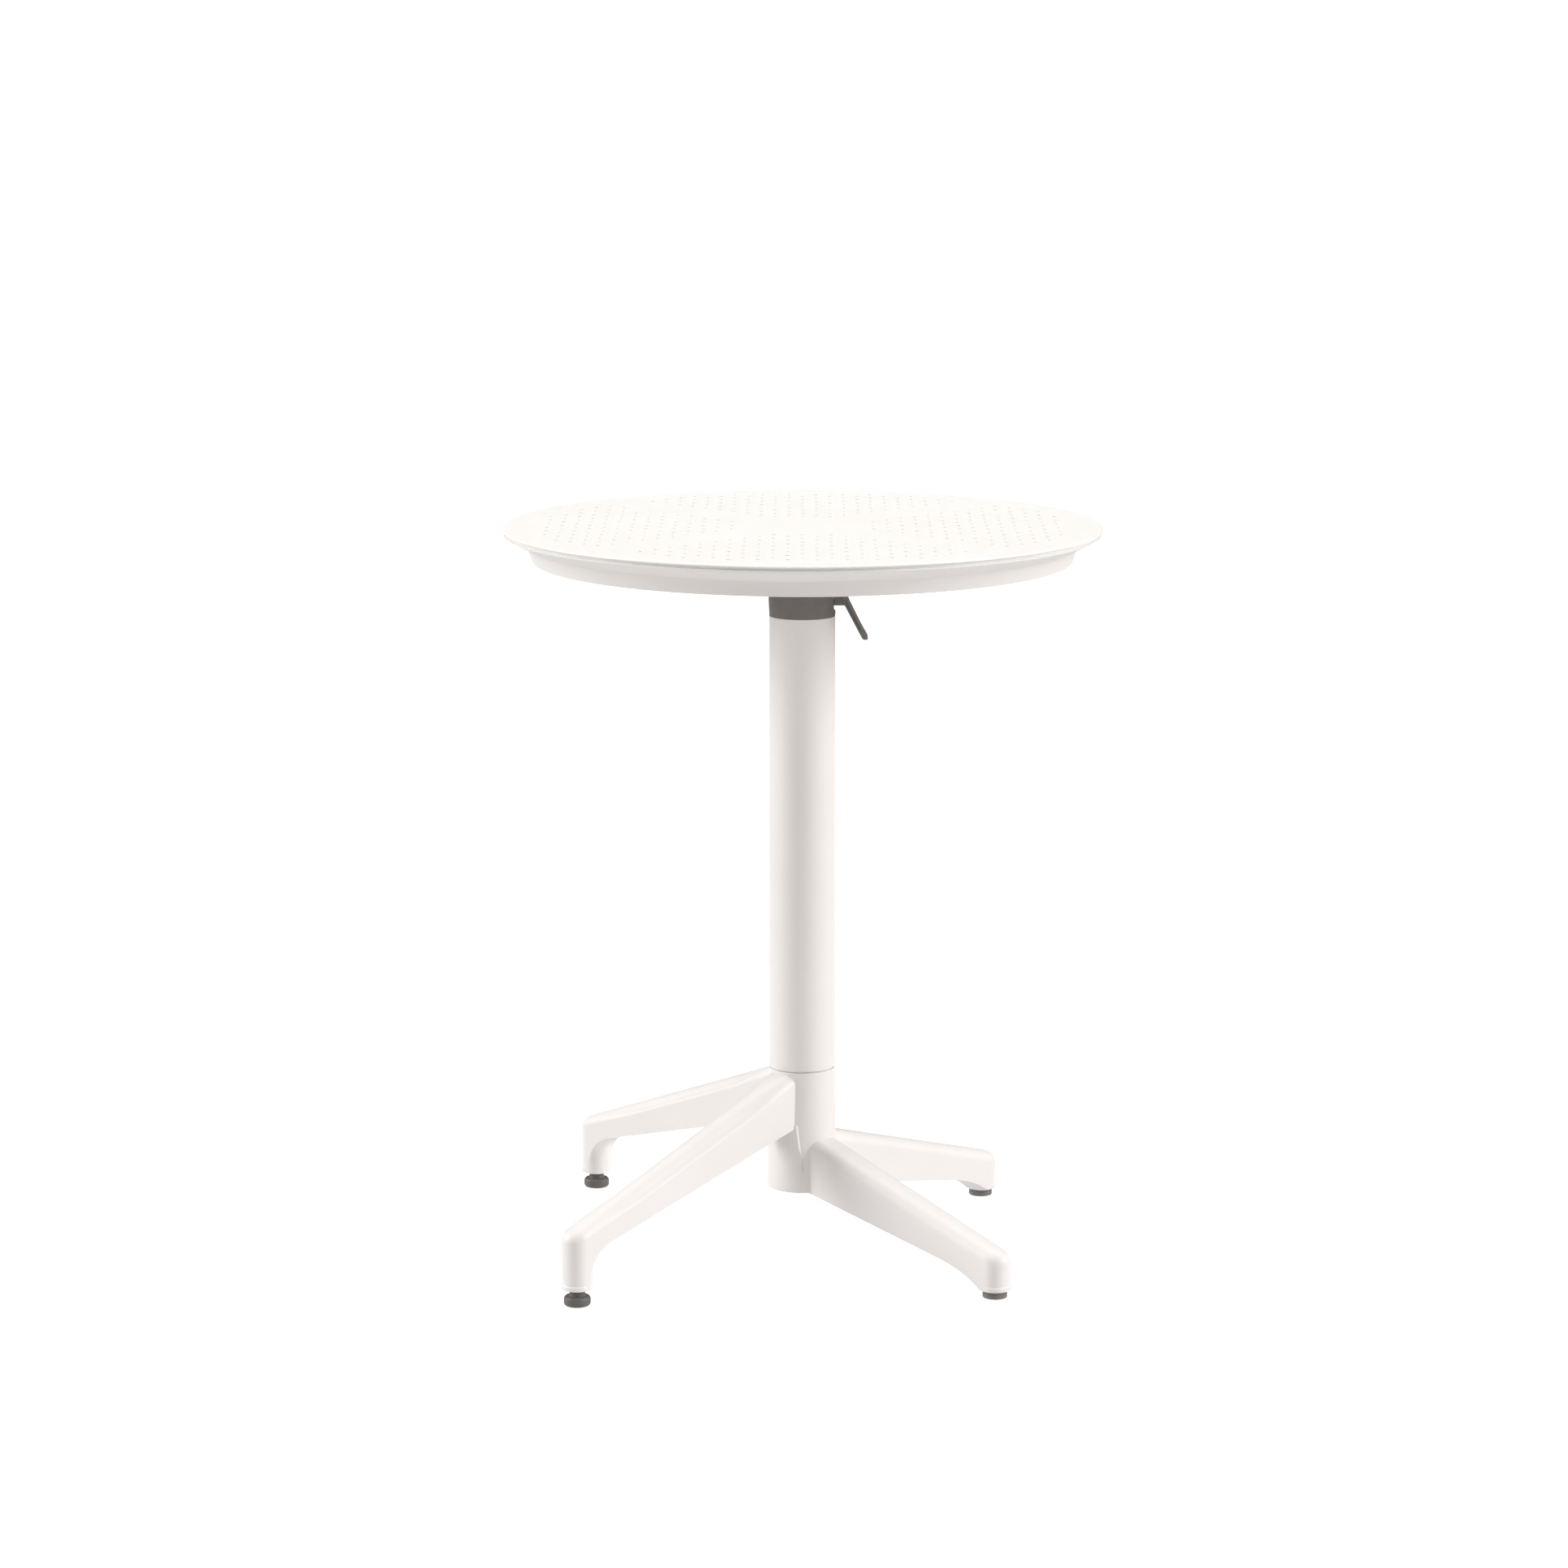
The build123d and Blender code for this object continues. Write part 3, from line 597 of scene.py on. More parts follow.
# The apron's section, from the panel down the sloped lip to the ring's foot and up inside.
ring_outline = [
    (298.2, frame_top, 0), (297.4, 734.4, 0.3), (278.4, 725.2, 4.5), (275.2, 724.6, 4.0),
    (269.9, apron_bottom, 1.1), (266.7, apron_bottom, 0.6), (271.0, 722.6, 3), (270.6, frame_top, 0),
]
plate_outline = [
    (0, plate_bottom, 0), (plate_radius, plate_bottom, 1.0), (plate_radius, frame_top, 0),
    (plate_radius - plate_wall, frame_top, 0), (plate_radius - plate_wall - 0.3, plate_top, 1.5),
    (0, plate_top, 0),
]
bracket_boss = [
    (0, plate_bottom + 1), (screw_boss_radius + 0.6, plate_bottom + 1), (screw_boss_radius, frame_top),
    (0, frame_top),
]
panel_boss = [
    (0, rib_bottom, 0), (panel_screw_boss_radius, rib_bottom, 0.5),
    (panel_screw_boss_radius + 0.5, frame_top, 0), (0, frame_top, 0),
]


def rib_pair(heading):
    """Two upright ribs on a diagonal, with the panel's screw bosses and their webs between them."""
    placing = about_z(heading)
    upright = placing @ Matrix(((0, 0, 1, 0), (1, 0, 0, 0), (0, 1, 0, 0), (0, 0, 0, 1)))
    half = rib_thickness / 2
    parts = []
    for side in (-1, 1):
        outline = [
            (side * rib_offset - half + rib_draft, rib_bottom),
            (side * rib_offset + half - rib_draft, rib_bottom), (side * rib_offset + half, frame_top),
            (side * rib_offset - half, frame_top),
        ]
        parts.append(prism(outline, rib_inner, rib_outer, upright))
    for reach in panel_screw_reaches:
        spot = placing @ Vector((reach, 0, 0))
        parts.append(turned(rounded(panel_boss), 40, (spot.x, spot.y)))
        web = box_outline(reach - half, reach + half, -rib_offset, rib_offset)
        parts.append(prism(web, rib_bottom + 0.01, frame_top, placing))
    return parts


def make_apron_frame():
    """The ring with its plate, bosses and ribs, and a hole for every screw."""
    ring = turned(rounded(ring_outline, steps=5), 256)
    parts = [turned(rounded(plate_outline), 128)]
    parts += [turned(bracket_boss, 48, point) for point in screw_points]
    for heading in diagonals:
        parts += rib_pair(heading)
    combine(ring, "UNION", parts)
    cuts = []
    for x, y in screw_points:
        cuts.append(prism(circle(x, y, bracket_screw_radius), plate_bottom - 1, bracket_thread_top))
    for spot in panel_screw_points:
        cuts.append(prism(circle(spot.x, spot.y, panel_screw_radius, 24), rib_bottom - 1, frame_top + 1))
    combine(ring, "DIFFERENCE", cuts)
    return ring


finish_piece(make_apron_frame(), "apron_and_ribs", "tabletop", "apron", "apron_frame", crease=30)


# ---- base casting
# A hub with two long and two short legs on the diagonals. In a leg's own terms, "reach" is the
# horizontal distance from the column's axis, and "share" is a place across its width, from -1
# to 1.

hub_bottom = 62.2
hub_bottom_radius = 35.5
hub_well_radius = 29.0
hub_web_bottom = 176.0
spigot_radius = 31.1
spigot_inner = 27.0
rod_hole_radius = 6.6
profile_datum = 33.0
leg_root = 26.0
leg_root_half = 18.5
leg_wall = 4.0
pocket_roof = 10.5
pocket_draft = 1.6
pocket_corner = 4.0
seam_mouth = 0.72
seam_root = 0.62
seam_depth = 1.8
beam_steps = 14
arch_steps = 20
across_steps = 20
nose_steps = 24

# A foot's bores are (radius, bottom, top).
long_leg = SimpleNamespace(
    foot_reach=311.6, foot_radius=15.0, sole=17.0, ridge_start=184.0, ridge_slope=-0.374,
    under_start=128.0, under_slope=-0.273, arch_start=286.0, arch_flare=8.0, foot_flat=1.5,
    ledge=1.0, bays=((44, 116), (119, 192), (195, 262)),
    foot_bores=((6.0, 16.0, 35.0), (4.8, 34.0, 50.0)),
)
short_leg = SimpleNamespace(
    foot_reach=269.4, foot_radius=15.5, sole=8.0, ridge_start=117.0, ridge_slope=-0.287,
    under_start=61.0, under_slope=-0.179, arch_start=214.0, arch_flare=4.0, foot_flat=3.0,
    ledge=0.0, bays=((44, 122), (125, 204)), foot_bores=((5.0, 7.0, 20.0),),
)
legs = [(long_leg, 135), (long_leg, 225), (short_leg, 45), (short_leg, 315)]

# From a long leg's crest to its side: (share of the half-width, drop), with a ledge over the side.
ledge_keys = [(0, 0), (0.22, 0.4), (0.43, 1.8), (0.6, 4.4), (0.72, 7.2), (0.81, 8.8)]
ledge_keys += [(0.92, 10.2), (0.985, 11.9), (1, 13.8)]
ledge_crown = smooth_through(ledge_keys, 25)
ledge_start = 42.0
ledge_fade_in = 48.0
ledge_gap_at_foot = 8.0
ledge_fade_out = 70.0
crown_radius = 12.0
knee_radius = 9.0

# The foot's wall down to the sole, with a raised bead: (height over the sole, how far out).
foot_wall = [(24.0, 0.0), (5.6, 0.0), (4.9, 0.25), (4.4, 0.75)]
foot_wall += [(3.6, 1.0), (1.2, 1.0), (0.4, 0.75), (0.0, 0.2)]
bead_fade_degrees = 12.0


def ridge(leg, reach):
    """The height of a leg's crest."""
    return leg.ridge_start + leg.ridge_slope * (reach - profile_datum)


def under(leg, reach):
    """The height of a leg's underside, up to its arch."""
    return leg.under_start + leg.under_slope * (reach - profile_datum)


def half_width(leg, reach):
    share = (reach - leg_root) / (leg.foot_reach - leg_root)
    return between(leg_root_half, leg.foot_radius, min(share, 1.0))


def round_drop(inside, radius):
    """How far a rounded edge has dropped, at a distance inside the outline."""
    if inside >= radius:
        return 0.0
    return radius - sqrt(radius**2 - (radius - inside) ** 2)


def crown_drop(leg, share, ledge_drop, reach, nose_turn):
    """Drop from the ridge at a share of the half-width; nose_turn is 1 dead ahead and 0 at the side."""
    inside = (1 - share) * half_width(leg, reach)
    plain = round_drop(inside, between(crown_radius, knee_radius, nose_turn))
    fade = ease((leg.foot_reach - ledge_gap_at_foot - reach) / ledge_fade_out)
    fade *= ease((reach - ledge_start) / ledge_fade_in)
    return between(plain, ledge_drop, leg.ledge * fade)


def underside_path(leg, share, samples, arc_steps=40):
    """(reach, height) from the arch's start to the sole, at a share of the width."""
    start = leg.arch_start - leg.arch_flare * share**2
    round_part = leg.foot_radius - leg.foot_flat
    heel = leg.foot_reach - leg.foot_flat - round_part * sqrt(max(0.0, 1 - share**2))
    first = Vector((start, under(leg, start)))
    along = Vector((1, leg.under_slope)).normalized()
    end_height = max(leg.sole, under(leg, heel) - (heel - start) / along.x)
    chord = Vector((heel, end_height)) - first
    turn = 2 * along.angle(chord)
    radius = chord.length / (2 * sin(turn / 2))
    centre = first + Vector((along.y, -along.x)) * radius
    path = []
    for step in range(arc_steps + 1):
        swung = first - centre
        swung.rotate(Matrix.Rotation(-turn * step / arc_steps, 2))
        path.append(centre + swung)
    if end_height > leg.sole:
        path.append(Vector((heel, leg.sole)))
    return spread(path, samples)


def vertex_maker(bm, heading):
    """A function that adds a vertex at a reach, a distance across and a height of a leg."""
    placing = about_z(heading)
    return lambda reach, across, height: bm.verts.new(placing @ Vector((reach, across, height)))


def underside_rows(vert, leg):
    """One row of vertices for each share of the width, from the root to the sole."""
    rows = []
    for step in range(across_steps + 1):
        share = sin(pi * (step / across_steps - 0.5))
        path = underside_path(leg, share, arch_steps + 1)
        beam = [between(leg_root, path[0].x, place / beam_steps) for place in range(beam_steps)]
        points = [Vector((reach, under(leg, reach))) for reach in beam] + path
        rows.append([vert(reach, share * half_width(leg, reach), height) for reach, height in points])
    return rows


def crown_column(vert, leg, outline, middle, turn):
    """The top's vertices from the middle line out to the outline."""
    column = []
    for share, ledge_drop in ledge_crown:
        reach = between(middle[0], outline[0], share)
        across = between(middle[1], outline[1], share)
        drop = crown_drop(leg, share, ledge_drop, leg.foot_reach if turn else outline[0], turn)
        column.append(vert(reach, across, ridge(leg, reach) - drop))
    return column


def add_sides(bm, vert, leg, rows):
    """The two halves of the top, from the root to the foot, and the side walls under them."""
    side_start = leg.arch_start - leg.arch_flare
    last_side = leg.foot_reach - leg.foot_flat
    stations = [between(leg_root, side_start, step / beam_steps) for step in range(beam_steps)]
    stations += [between(side_start, last_side, step / arch_steps) for step in range(arch_steps + 1)]
    sides = []
    for side, wall_row in ((-1, rows[0]), (1, rows[-1])):
        columns = []
        for reach in stations:
            columns.append(crown_column(vert, leg, (reach, side * half_width(leg, reach)), (reach, 0), 0))
        bands(bm, columns)
        skin(bm, [column[-1] for column in columns], wall_row)
        sides.append(columns)
    return sides


def add_nose(bm, vert, leg):
    """The crown swept round the foot's outer half, and the wall under it."""
    foot = leg.foot_reach
    crowns = []
    walls = []
    for step in range(nose_steps + 1):
        angle = pi * (step / nose_steps - 0.5)
        forward = Vector((cos(angle), sin(angle)))
        tip = (foot + leg.foot_radius * forward.x, leg.foot_radius * forward.y)
        crowns.append(crown_column(vert, leg, tip, (foot, 0), max(1e-6, forward.x) ** 1.5))
        fade = ease((90 - abs(angle) * 180 / pi) / bead_fade_degrees)
        wall = [crowns[-1][-1]]
        for rise, out in foot_wall:
            radius = leg.foot_radius + out * fade
            wall.append(vert(foot + radius * forward.x, radius * forward.y, leg.sole + rise))
        walls.append(wall)
    bands(bm, crowns)
    bands(bm, walls)
    return crowns, walls


def make_leg(leg, heading):
    """One leg: a crowned top, flat sides, an arched underside and a round foot."""
    bm = bmesh.new()
    vert = vertex_maker(bm, heading)
    rows = underside_rows(vert, leg)
    bands(bm, rows)
    sides = add_sides(bm, vert, leg, rows)
    crowns, walls = add_nose(bm, vert, leg)
    # a short flat between the last side station and the nose, on both sides
    for end in (0, -1):
        last_column = sides[end][-1]
        skin(bm, last_column, crowns[end])
        bm.faces.new([last_column[-1], *walls[end], rows[end][-1]])
    # the sole, and the hidden end inside the hub
    bm.faces.new([wall[-1] for wall in walls] + [row[-1] for row in reversed(rows)])
    bm.faces.new([row[0] for row in rows] + sides[1][0][::-1] + sides[0][0][1:])
    return solid(bm)


def pocket(leg, heading, start, end):
    """The hollow of one bay under a leg, with drafted walls."""
    bm = bmesh.new()
    vert = vertex_maker(bm, heading)
    rings = []
    for draft in (0.0, pocket_draft):
        half = half_width(leg, end) - leg_wall - draft
        outline = box_outline(start + draft, end - draft, -half, half, pocket_corner - draft)
        ring = []
        for reach, across in outline:
            height = ridge(leg, reach) - pocket_roof if draft else under(leg, reach) - 2
            ring.append(vert(reach, across, height))
        rings.append(ring)
    return lofted(bm, rings)


# The mould's parting line: a raised skin on the hub that ends in a slanted step, which fades out
# downwards, and below it a groove on the same slant.
parting_top = 133.0
parting_bottom = 98.0
parting_rise = 1.3
parting_run_in = 12.0
parting_thinnest = 0.04
parting_lean = 1.9
parting_root = -0.6
parting_steps = 16
groove_top = 97.0
groove_bottom = 83.0
groove_left = -1.25
groove_right = -0.7
groove_depth = 0.95


def hub_face(height):
    """The hub's radius at a height."""
    return between(hub_bottom_radius, column_radius, (height - hub_bottom) / (seam_height - hub_bottom))


def parting_x(height):
    """Where the mould's parting line crosses the hub."""
    return -3.4 + 0.12 * (parting_top - height)


def parting_groove(side):
    """The fine groove under the step. side is -1 for the front and 1 for the back."""
    outline = [
        (parting_x(groove_bottom) + groove_left, groove_bottom),
        (parting_x(groove_bottom) + groove_right, groove_bottom),
        (parting_x(groove_top) + groove_right, groove_top),
        (parting_x(groove_top) + groove_left, groove_top),
    ]
    face = hub_face(groove_bottom)
    near, far = sorted((-side * (face - groove_depth), -side * (face + 2)))
    return prism(outline, near, far, across_plane)


def parting_step(side):
    """The raised skin under a long leg. side is -1 for the front and 1 for the back."""
    bm = bmesh.new()
    inner = []
    outer = []
    for level in range(parting_steps + 1):
        height = between(parting_bottom, parting_top, level / parting_steps)
        face = hub_face(height)
        edge_angle = acos(parting_x(height) / face)
        share = ease((height - parting_bottom) / parting_run_in)
        rise = parting_rise * between(parting_thinnest, 1, share)
        for grid, depth, lean in ((inner, parting_root, 0), (outer, rise, parting_lean * rise / face)):
            radius = face + depth
            row = []
            for step in range(parting_steps + 1):
                turn = side * between(edge_angle + lean, radians(135), step / parting_steps)
                row.append(bm.verts.new((radius * cos(turn), radius * sin(turn), height)))
            grid.append(row)
    bands(bm, inner)
    bands(bm, outer)
    for end in (0, -1):
        skin(bm, inner[end], outer[end])
        skin(bm, [row[end] for row in inner], [row[end] for row in outer])
    return solid(bm)


hub_outline = [
    (0, hub_bottom + 0.3, 0), (hub_bottom_radius - 1.2, hub_bottom, 0),
    (hub_bottom_radius, hub_bottom, 1.6), (column_radius, seam_height - seam_mouth, 0.15),
    (column_radius - seam_depth, seam_height - seam_root, 0),
    (column_radius - seam_depth, seam_height, 0), (spigot_radius, seam_height, 0),
    (spigot_radius, spigot_top, 0.6), (spigot_inner, spigot_top, 0.6), (spigot_inner, seam_height, 0),
    (0, seam_height, 0),
]
hub_well = [(0, 50), (hub_well_radius, 50), (hub_well_radius, hub_web_bottom), (0, hub_web_bottom)]


def make_base_casting():
    """The hub and its legs, with the parting line, the bays and the bores."""
    hub = turned(rounded(hub_outline), 160)
    parts = [make_leg(leg, heading) for leg, heading in legs]
    parts += [parting_step(-1), parting_step(1)]
    combine(hub, "UNION", parts)
    cuts = [parting_groove(-1), parting_groove(1), turned(hub_well, 96)]
    cuts.append(prism(circle(0, 0, rod_hole_radius), hub_web_bottom - 1, spigot_top))
    for leg, heading in legs:
        cuts += [pocket(leg, heading, start, end) for start, end in leg.bays]
        spot = about_z(heading) @ Vector((leg.foot_reach, 0, 0))
        cuts += [prism(circle(spot.x, spot.y, radius), low, high) for radius, low, high in leg.foot_bores]
    combine(hub, "DIFFERENCE", cuts)
    return hub


finish_piece(make_base_casting(), "cast_base", "base", "base_coat", "base_casting", crease=30)


# ---- column tube

column_wall = 2.0
tube_levels = 24
tube_outline = [
    (column_radius - seam_depth, seam_height, 0),
    (column_radius - seam_depth, seam_height + seam_root, 0),
    (column_radius, seam_height + seam_mouth, 0.15), (column_radius, collar_bottom, 0.5),
    (column_radius - column_wall, collar_bottom, 0.2), (column_radius - column_wall, seam_height, 0.2),
]


def make_column_tube():
    """A plain tube with a fine groove at its foot, where it meets the hub."""
    outline = rounded(tube_outline)
    profile = []
    for point, after in zip(outline, outline[1:] + outline[:1]):
        profile.append(point)
        if abs(after.y - point.y) > 100:
            profile += [between(point, after, step / tube_levels) for step in range(1, tube_levels)]
    return turned(profile, 160)


finish_piece(make_column_tube(), "steel_column", "base", "column_coat", "column_tube", crease=30)


# ---- column head

head_radius = 34.0
head_top = 678.0
nut_well_radius = 12.6
head_web_bottom = 655.0
head_web_top = 662.0
flat_x = 31.7
flat_bottom = 657.0
lip_drop = 3.3
notch_bottom = 660.4
notch_top = 673.0
notch_left = 28.3
notch_half = 11.95
lug_half = 10.0
lug_radius = 9.0
rest_top = 699.0
bump_points = ((22.0, 14.0), (22.0, -14.0))
bump_stem_radius = 2.5
pivot_pin_radius = 5.0
head_outline = [
    (spigot_inner, head_bottom, 0.5), (spigot_radius, head_bottom, 0.8),
    (spigot_radius, collar_bottom, 0), (column_radius, collar_bottom, 0.4), (head_radius, 667.7, 12),
    (head_radius, head_top, 1.5), (nut_well_radius, head_top, 0.6),
    (nut_well_radius, head_web_top, 0.6), (rod_hole_radius, head_web_top, 0),
    (rod_hole_radius, head_web_bottom, 0), (spigot_inner, head_web_bottom, 1.5),
]
flat_outline = [
    (flat_x, flat_bottom, 0.6), (flat_x + lip_drop, flat_bottom - lip_drop, 0),
    (head_radius + 5, flat_bottom - lip_drop, 0), (head_radius + 5, head_top + 1, 0),
    (flat_x, head_top + 1, 0),
]


def crossbar(axis, radius, half, steps=32, edge=0.0):
    """A cylinder along Y, on a hinge's axis."""
    return prism(circle(axis.x, axis.z, radius, steps), -half, half, across_plane, edge=edge)


def make_column_head():
    """The collar with its spigot, lug, rest and flange, less the flat, the notch and the bores."""
    head = turned(rounded(head_outline), 160)
    lug = half_circle(pivot.x, pivot.z, lug_radius, 1)
    lug += [Vector((pivot.x - lug_radius, head_top - 4)), Vector((pivot.x + lug_radius, head_top - 4))]
    rest = box_outline(14.5, 29.0, -21.0, 21.0, 4.0, 6)
    flange = box_outline(16.5, 27.0, -24.5, 24.5, 2.0)
    parts = [
        prism(lug, -lug_half, lug_half, across_plane, edge=0.6),
        prism(rest, head_top - 3, rest_top, edge=0.8),
        prism(flange, head_top - 3, head_top + 5, edge=0.8),
    ]
    combine(head, "UNION", parts)
    notch = box_outline(notch_left, flat_x + 5, -notch_half, notch_half)
    cuts = [
        prism(rounded(flat_outline), -head_radius, head_radius, across_plane),
        prism(notch, notch_bottom, notch_top),
        crossbar(pivot, pivot_pin_radius, 20),
    ]
    for x, y in bump_points:
        cuts.append(prism(circle(x, y, bump_stem_radius, 24), rest_top - 5, rest_top + 1))
    combine(head, "DIFFERENCE", cuts)
    return head


finish_piece(make_column_head(), "head_collar", "base", "dark_polymer", "column_head", crease=30)


# ---- release lever
# A barrel on the lever pin, a block whose nose catches in the head's notch, and a grooved blade.

barrel_radius = 6.4
lever_pin_radius = 3.0
running_fit = 0.05
block_left = 31.95
nose_left = 29.7
block_bottom = 662.5
nose_top = 666.4
block_half = 9.6
spring_slot_half = 5.0
spring_slot_radius = 7.4
block_outline = [
    (block_left, lever_axis.z, 0), (block_left, nose_top, 0.5), (nose_left + 0.8, nose_top, 0),
    (nose_left, nose_top - 0.8, 0), (nose_left, block_bottom, 0.6), (43.0, block_bottom, 0.4),
    (45.0, 668.0, 0.4), (43.6, lever_axis.z, 0),
]

# The blade's two long edges in (x, z), from under the pin to the tip.
blade_inner = ((36.5, 679.0), (39.1, 671.0), (42.6, 661.9), (59.9, 629.0), (60.6, 628.2), (61.6, 627.9))
blade_outer = (
    (44.3, 682.0), (45.5, 671.1), (47.4, 665.8), (59.0, 642.3), (63.2, 634.9), (65.4, 631.0),
    (65.9, 628.9), (65.2, 627.9),
)

# Across the blade from the inner edge to the outer: share, inset of the side face, groove or not.
blade_section = (
    (0.0, 0.9, 0), (0.06, 0.25, 0), (0.16, 0.0, 0), (0.36, 0.0, 0), (0.41, 0.0, 1), (0.52, 0.0, 1),
    (0.57, 0.0, 0), (0.66, 0.0, 0), (0.97, 0.9, 0), (1.0, 1.5, 0),
)
blade_samples = 48
blade_groove = 1.1
tip_narrowing = 0.6


def make_blade():
    """A straight blade with a long groove in each side face and a broad bevel on its outer edge."""
    bm = bmesh.new()
    edges = [spread([Vector(point) for point in edge], blade_samples) for edge in (blade_inner, blade_outer)]
    rings = []
    for index, (inner, outer) in enumerate(zip(*edges)):
        along = index / (blade_samples - 1)
        groove = blade_groove * ease((along - 0.18) / 0.08) * ease((0.84 - along) / 0.08)
        half = lever_half - tip_narrowing * ease((along - 0.9) / 0.1)
        ring = []
        for side, section in ((-1, blade_section), (1, blade_section[::-1])):
            for share, inset, grooved in section:
                point = between(inner, outer, share)
                ring.append(bm.verts.new((point.x, side * (half - inset - groove * grooved), point.y)))
        rings.append(ring)
    return lofted(bm, rings)


def make_release_lever():
    """The latch block, the blade and the barrel, less the spring's slot and the pin's bore."""
    outline = rounded(block_outline, steps=6)
    lever = prism(outline, -block_half, block_half, across_plane, edge=0.8, edge_steps=4)
    combine(lever, "UNION", [make_blade()])
    combine(lever, "UNION", [crossbar(lever_axis, barrel_radius, lever_half, 48, edge=0.6)])
    slot = crossbar(lever_axis, spring_slot_radius, spring_slot_half, 48)
    bore = crossbar(lever_axis, lever_pin_radius + running_fit, 20)
    combine(lever, "DIFFERENCE", [slot, bore])
    return lever


finish_piece(
    make_release_lever(), "moulded_lever", "release_lever", "dark_polymer", "release_lever", crease=35
)


# ---- tilt bracket

bracket_plate_bottom = 703.0
ear_root = 705.0
ear_flare = 1.5
screw_bore_radius = 3.3
screw_bore_bottom = 700.0
screw_bore_top = 712.0

# Each pair of ears: its axis, radius, inner and outer face, and the radius of its bore.
ear_pairs = ((pivot, 11.0, 11.3, 17.3, 5.05), (lever_axis, 7.0, 12.6, 17.6, 3.0))


def make_tilt_bracket():
    """A cast plate with two pairs of ears under it and four screw holes."""
    plate = box_outline(bracket_low.x, bracket_high.x, bracket_low.y, bracket_high.y, 12.0, 8)
    bracket = prism(plate, bracket_plate_bottom, bracket_high.z, edge=1.0)
    parts = []
    cuts = []
    for axis, radius, inner, outer, bore in ear_pairs:
        ear = half_circle(axis.x, axis.z, radius, -1)
        for side in (-1, 1):
            ear.append(Vector((axis.x + side * radius + side * ear_flare, ear_root)))
        for side in (-1, 1):
            low, high = sorted((side * inner, side * outer))
            parts.append(prism(ear, low, high, across_plane, edge=0.7))
        cuts.append(crossbar(axis, bore, 30, 48))
    combine(bracket, "UNION", parts)
    for x, y in screw_points:
        cuts.append(prism(circle(x, y, screw_bore_radius), screw_bore_bottom, screw_bore_top))
    combine(bracket, "DIFFERENCE", cuts)
    return bracket


finish_piece(make_tilt_bracket(), "cast_bracket", "tabletop", "bracket_cast", "tilt_bracket", crease=30)


# ---- screws

socket_radius = 2.3
cross_half = 1.9
cross_arm_half = 0.45
thread_pitch = 1.25
thread_depth = 0.65
thread_chamfer = 0.8
thread_segments = 36
levels_per_turn = 6


def add_screw(bm, place, seat, head, shank, low, high):
    """A screw pointing up from low to high, with a rounded head under its seat."""
    outline = rounded(
        [
            (0, low, 0), (head * 0.62, low, 0.6), (head, seat - (seat - low) * 0.4, 0.6),
            (head, seat, 0.2), (shank, seat, 0), (shank, high - 1.2, 0), (shank - 1.0, high, 0),
            (0, high, 0),
        ]
    )
    add_turned(bm, outline, place, 40)


def hexagon(x, y):
    """A hexagon socket's outline."""
    return circle(x, y, socket_radius, 6)


def plus_sign(x, y):
    """A cross recess's outline."""
    quarter = [(cross_half, -cross_arm_half), (cross_half, cross_arm_half), (cross_arm_half, cross_arm_half)]
    outline = []
    for turn in range(4):
        for point in quarter:
            arm = Vector(point)
            arm.rotate(Matrix.Rotation(-pi / 2 * turn, 2))
            outline.append(Vector((x, y)) + arm)
    return outline


def make_screws(node, points, seat, head, shank, recess, recess_depth):
    """Screws at some points; head and shank are radii, and recess gives an outline at a point."""
    low, high = corners(node)
    bm = bmesh.new()
    recesses = []
    for x, y, *_ in points:
        add_screw(bm, (x, y), seat, head, shank, low.z, high.z)
        recesses.append(prism(recess(x, y), low.z - 1, low.z + recess_depth))
    screws = solid(bm)
    combine(screws, "DIFFERENCE", recesses)
    return screws


def make_stud(node):
    """A glide's threaded stud, with a real helix."""
    low, high = corners(node)
    radius = (high.x - low.x) / 2
    centre = (low + high) / 2
    steps = round((high.z - low.z) / thread_pitch * levels_per_turn)
    bm = bmesh.new()
    rings = []
    for step in range(steps + 1):
        height = between(low.z, high.z, step / steps)
        run_in = ease((height - low.z) / thread_pitch)
        taper = max(0.0, height - high.z + thread_chamfer)
        ring = []
        for side in range(thread_segments):
            angle = 2 * pi * side / thread_segments
            phase = (height / thread_pitch - side / thread_segments) % 1
            reach = radius - max(thread_depth * abs(2 * phase - 1) * run_in, taper)
            ring.append(bm.verts.new((centre.x + reach * cos(angle), centre.y + reach * sin(angle), height)))
        rings.append(ring)
    return lofted(bm, rings)


bracket_screws = make_screws(
    "bracket_screws", screw_points, bracket_plate_bottom, 5.5, bracket_screw_radius, hexagon, 2.0
)
panel_screws = make_screws(
    "panel_screws", panel_screw_points, rib_bottom, 4.2, panel_screw_radius, plus_sign, 1.3
)
finish_piece(bracket_screws, "socket_screws", "tabletop", "zinc_steel", "bracket_screws")
finish_piece(panel_screws, "cross_head_screws", "tabletop", "zinc_steel", "panel_screws")
for side in ("front", "back"):
    body = side + "_left_glide"
    stud = body + "_stud"
    finish_piece(make_stud(stud), side + "_threaded_stud", body, "zinc_steel", stud, crease=25)


# ---- feet

# A moulded screw foot: a disc with a round edge and a necked top.
glide_outline = [
    (0, 0.6, 0), (9.5, 0.6, 0.3), (10.2, 0.0, 0.3), (13.3, 0.0, 3.4), (13.3, 10.0, 3.4),
    (7.8, 10.0, 1.6), (7.8, 16.7, 0.5), (4.0, 16.7, 0), (4.0, stud_bottom, 0), (0, stud_bottom, 0),
]

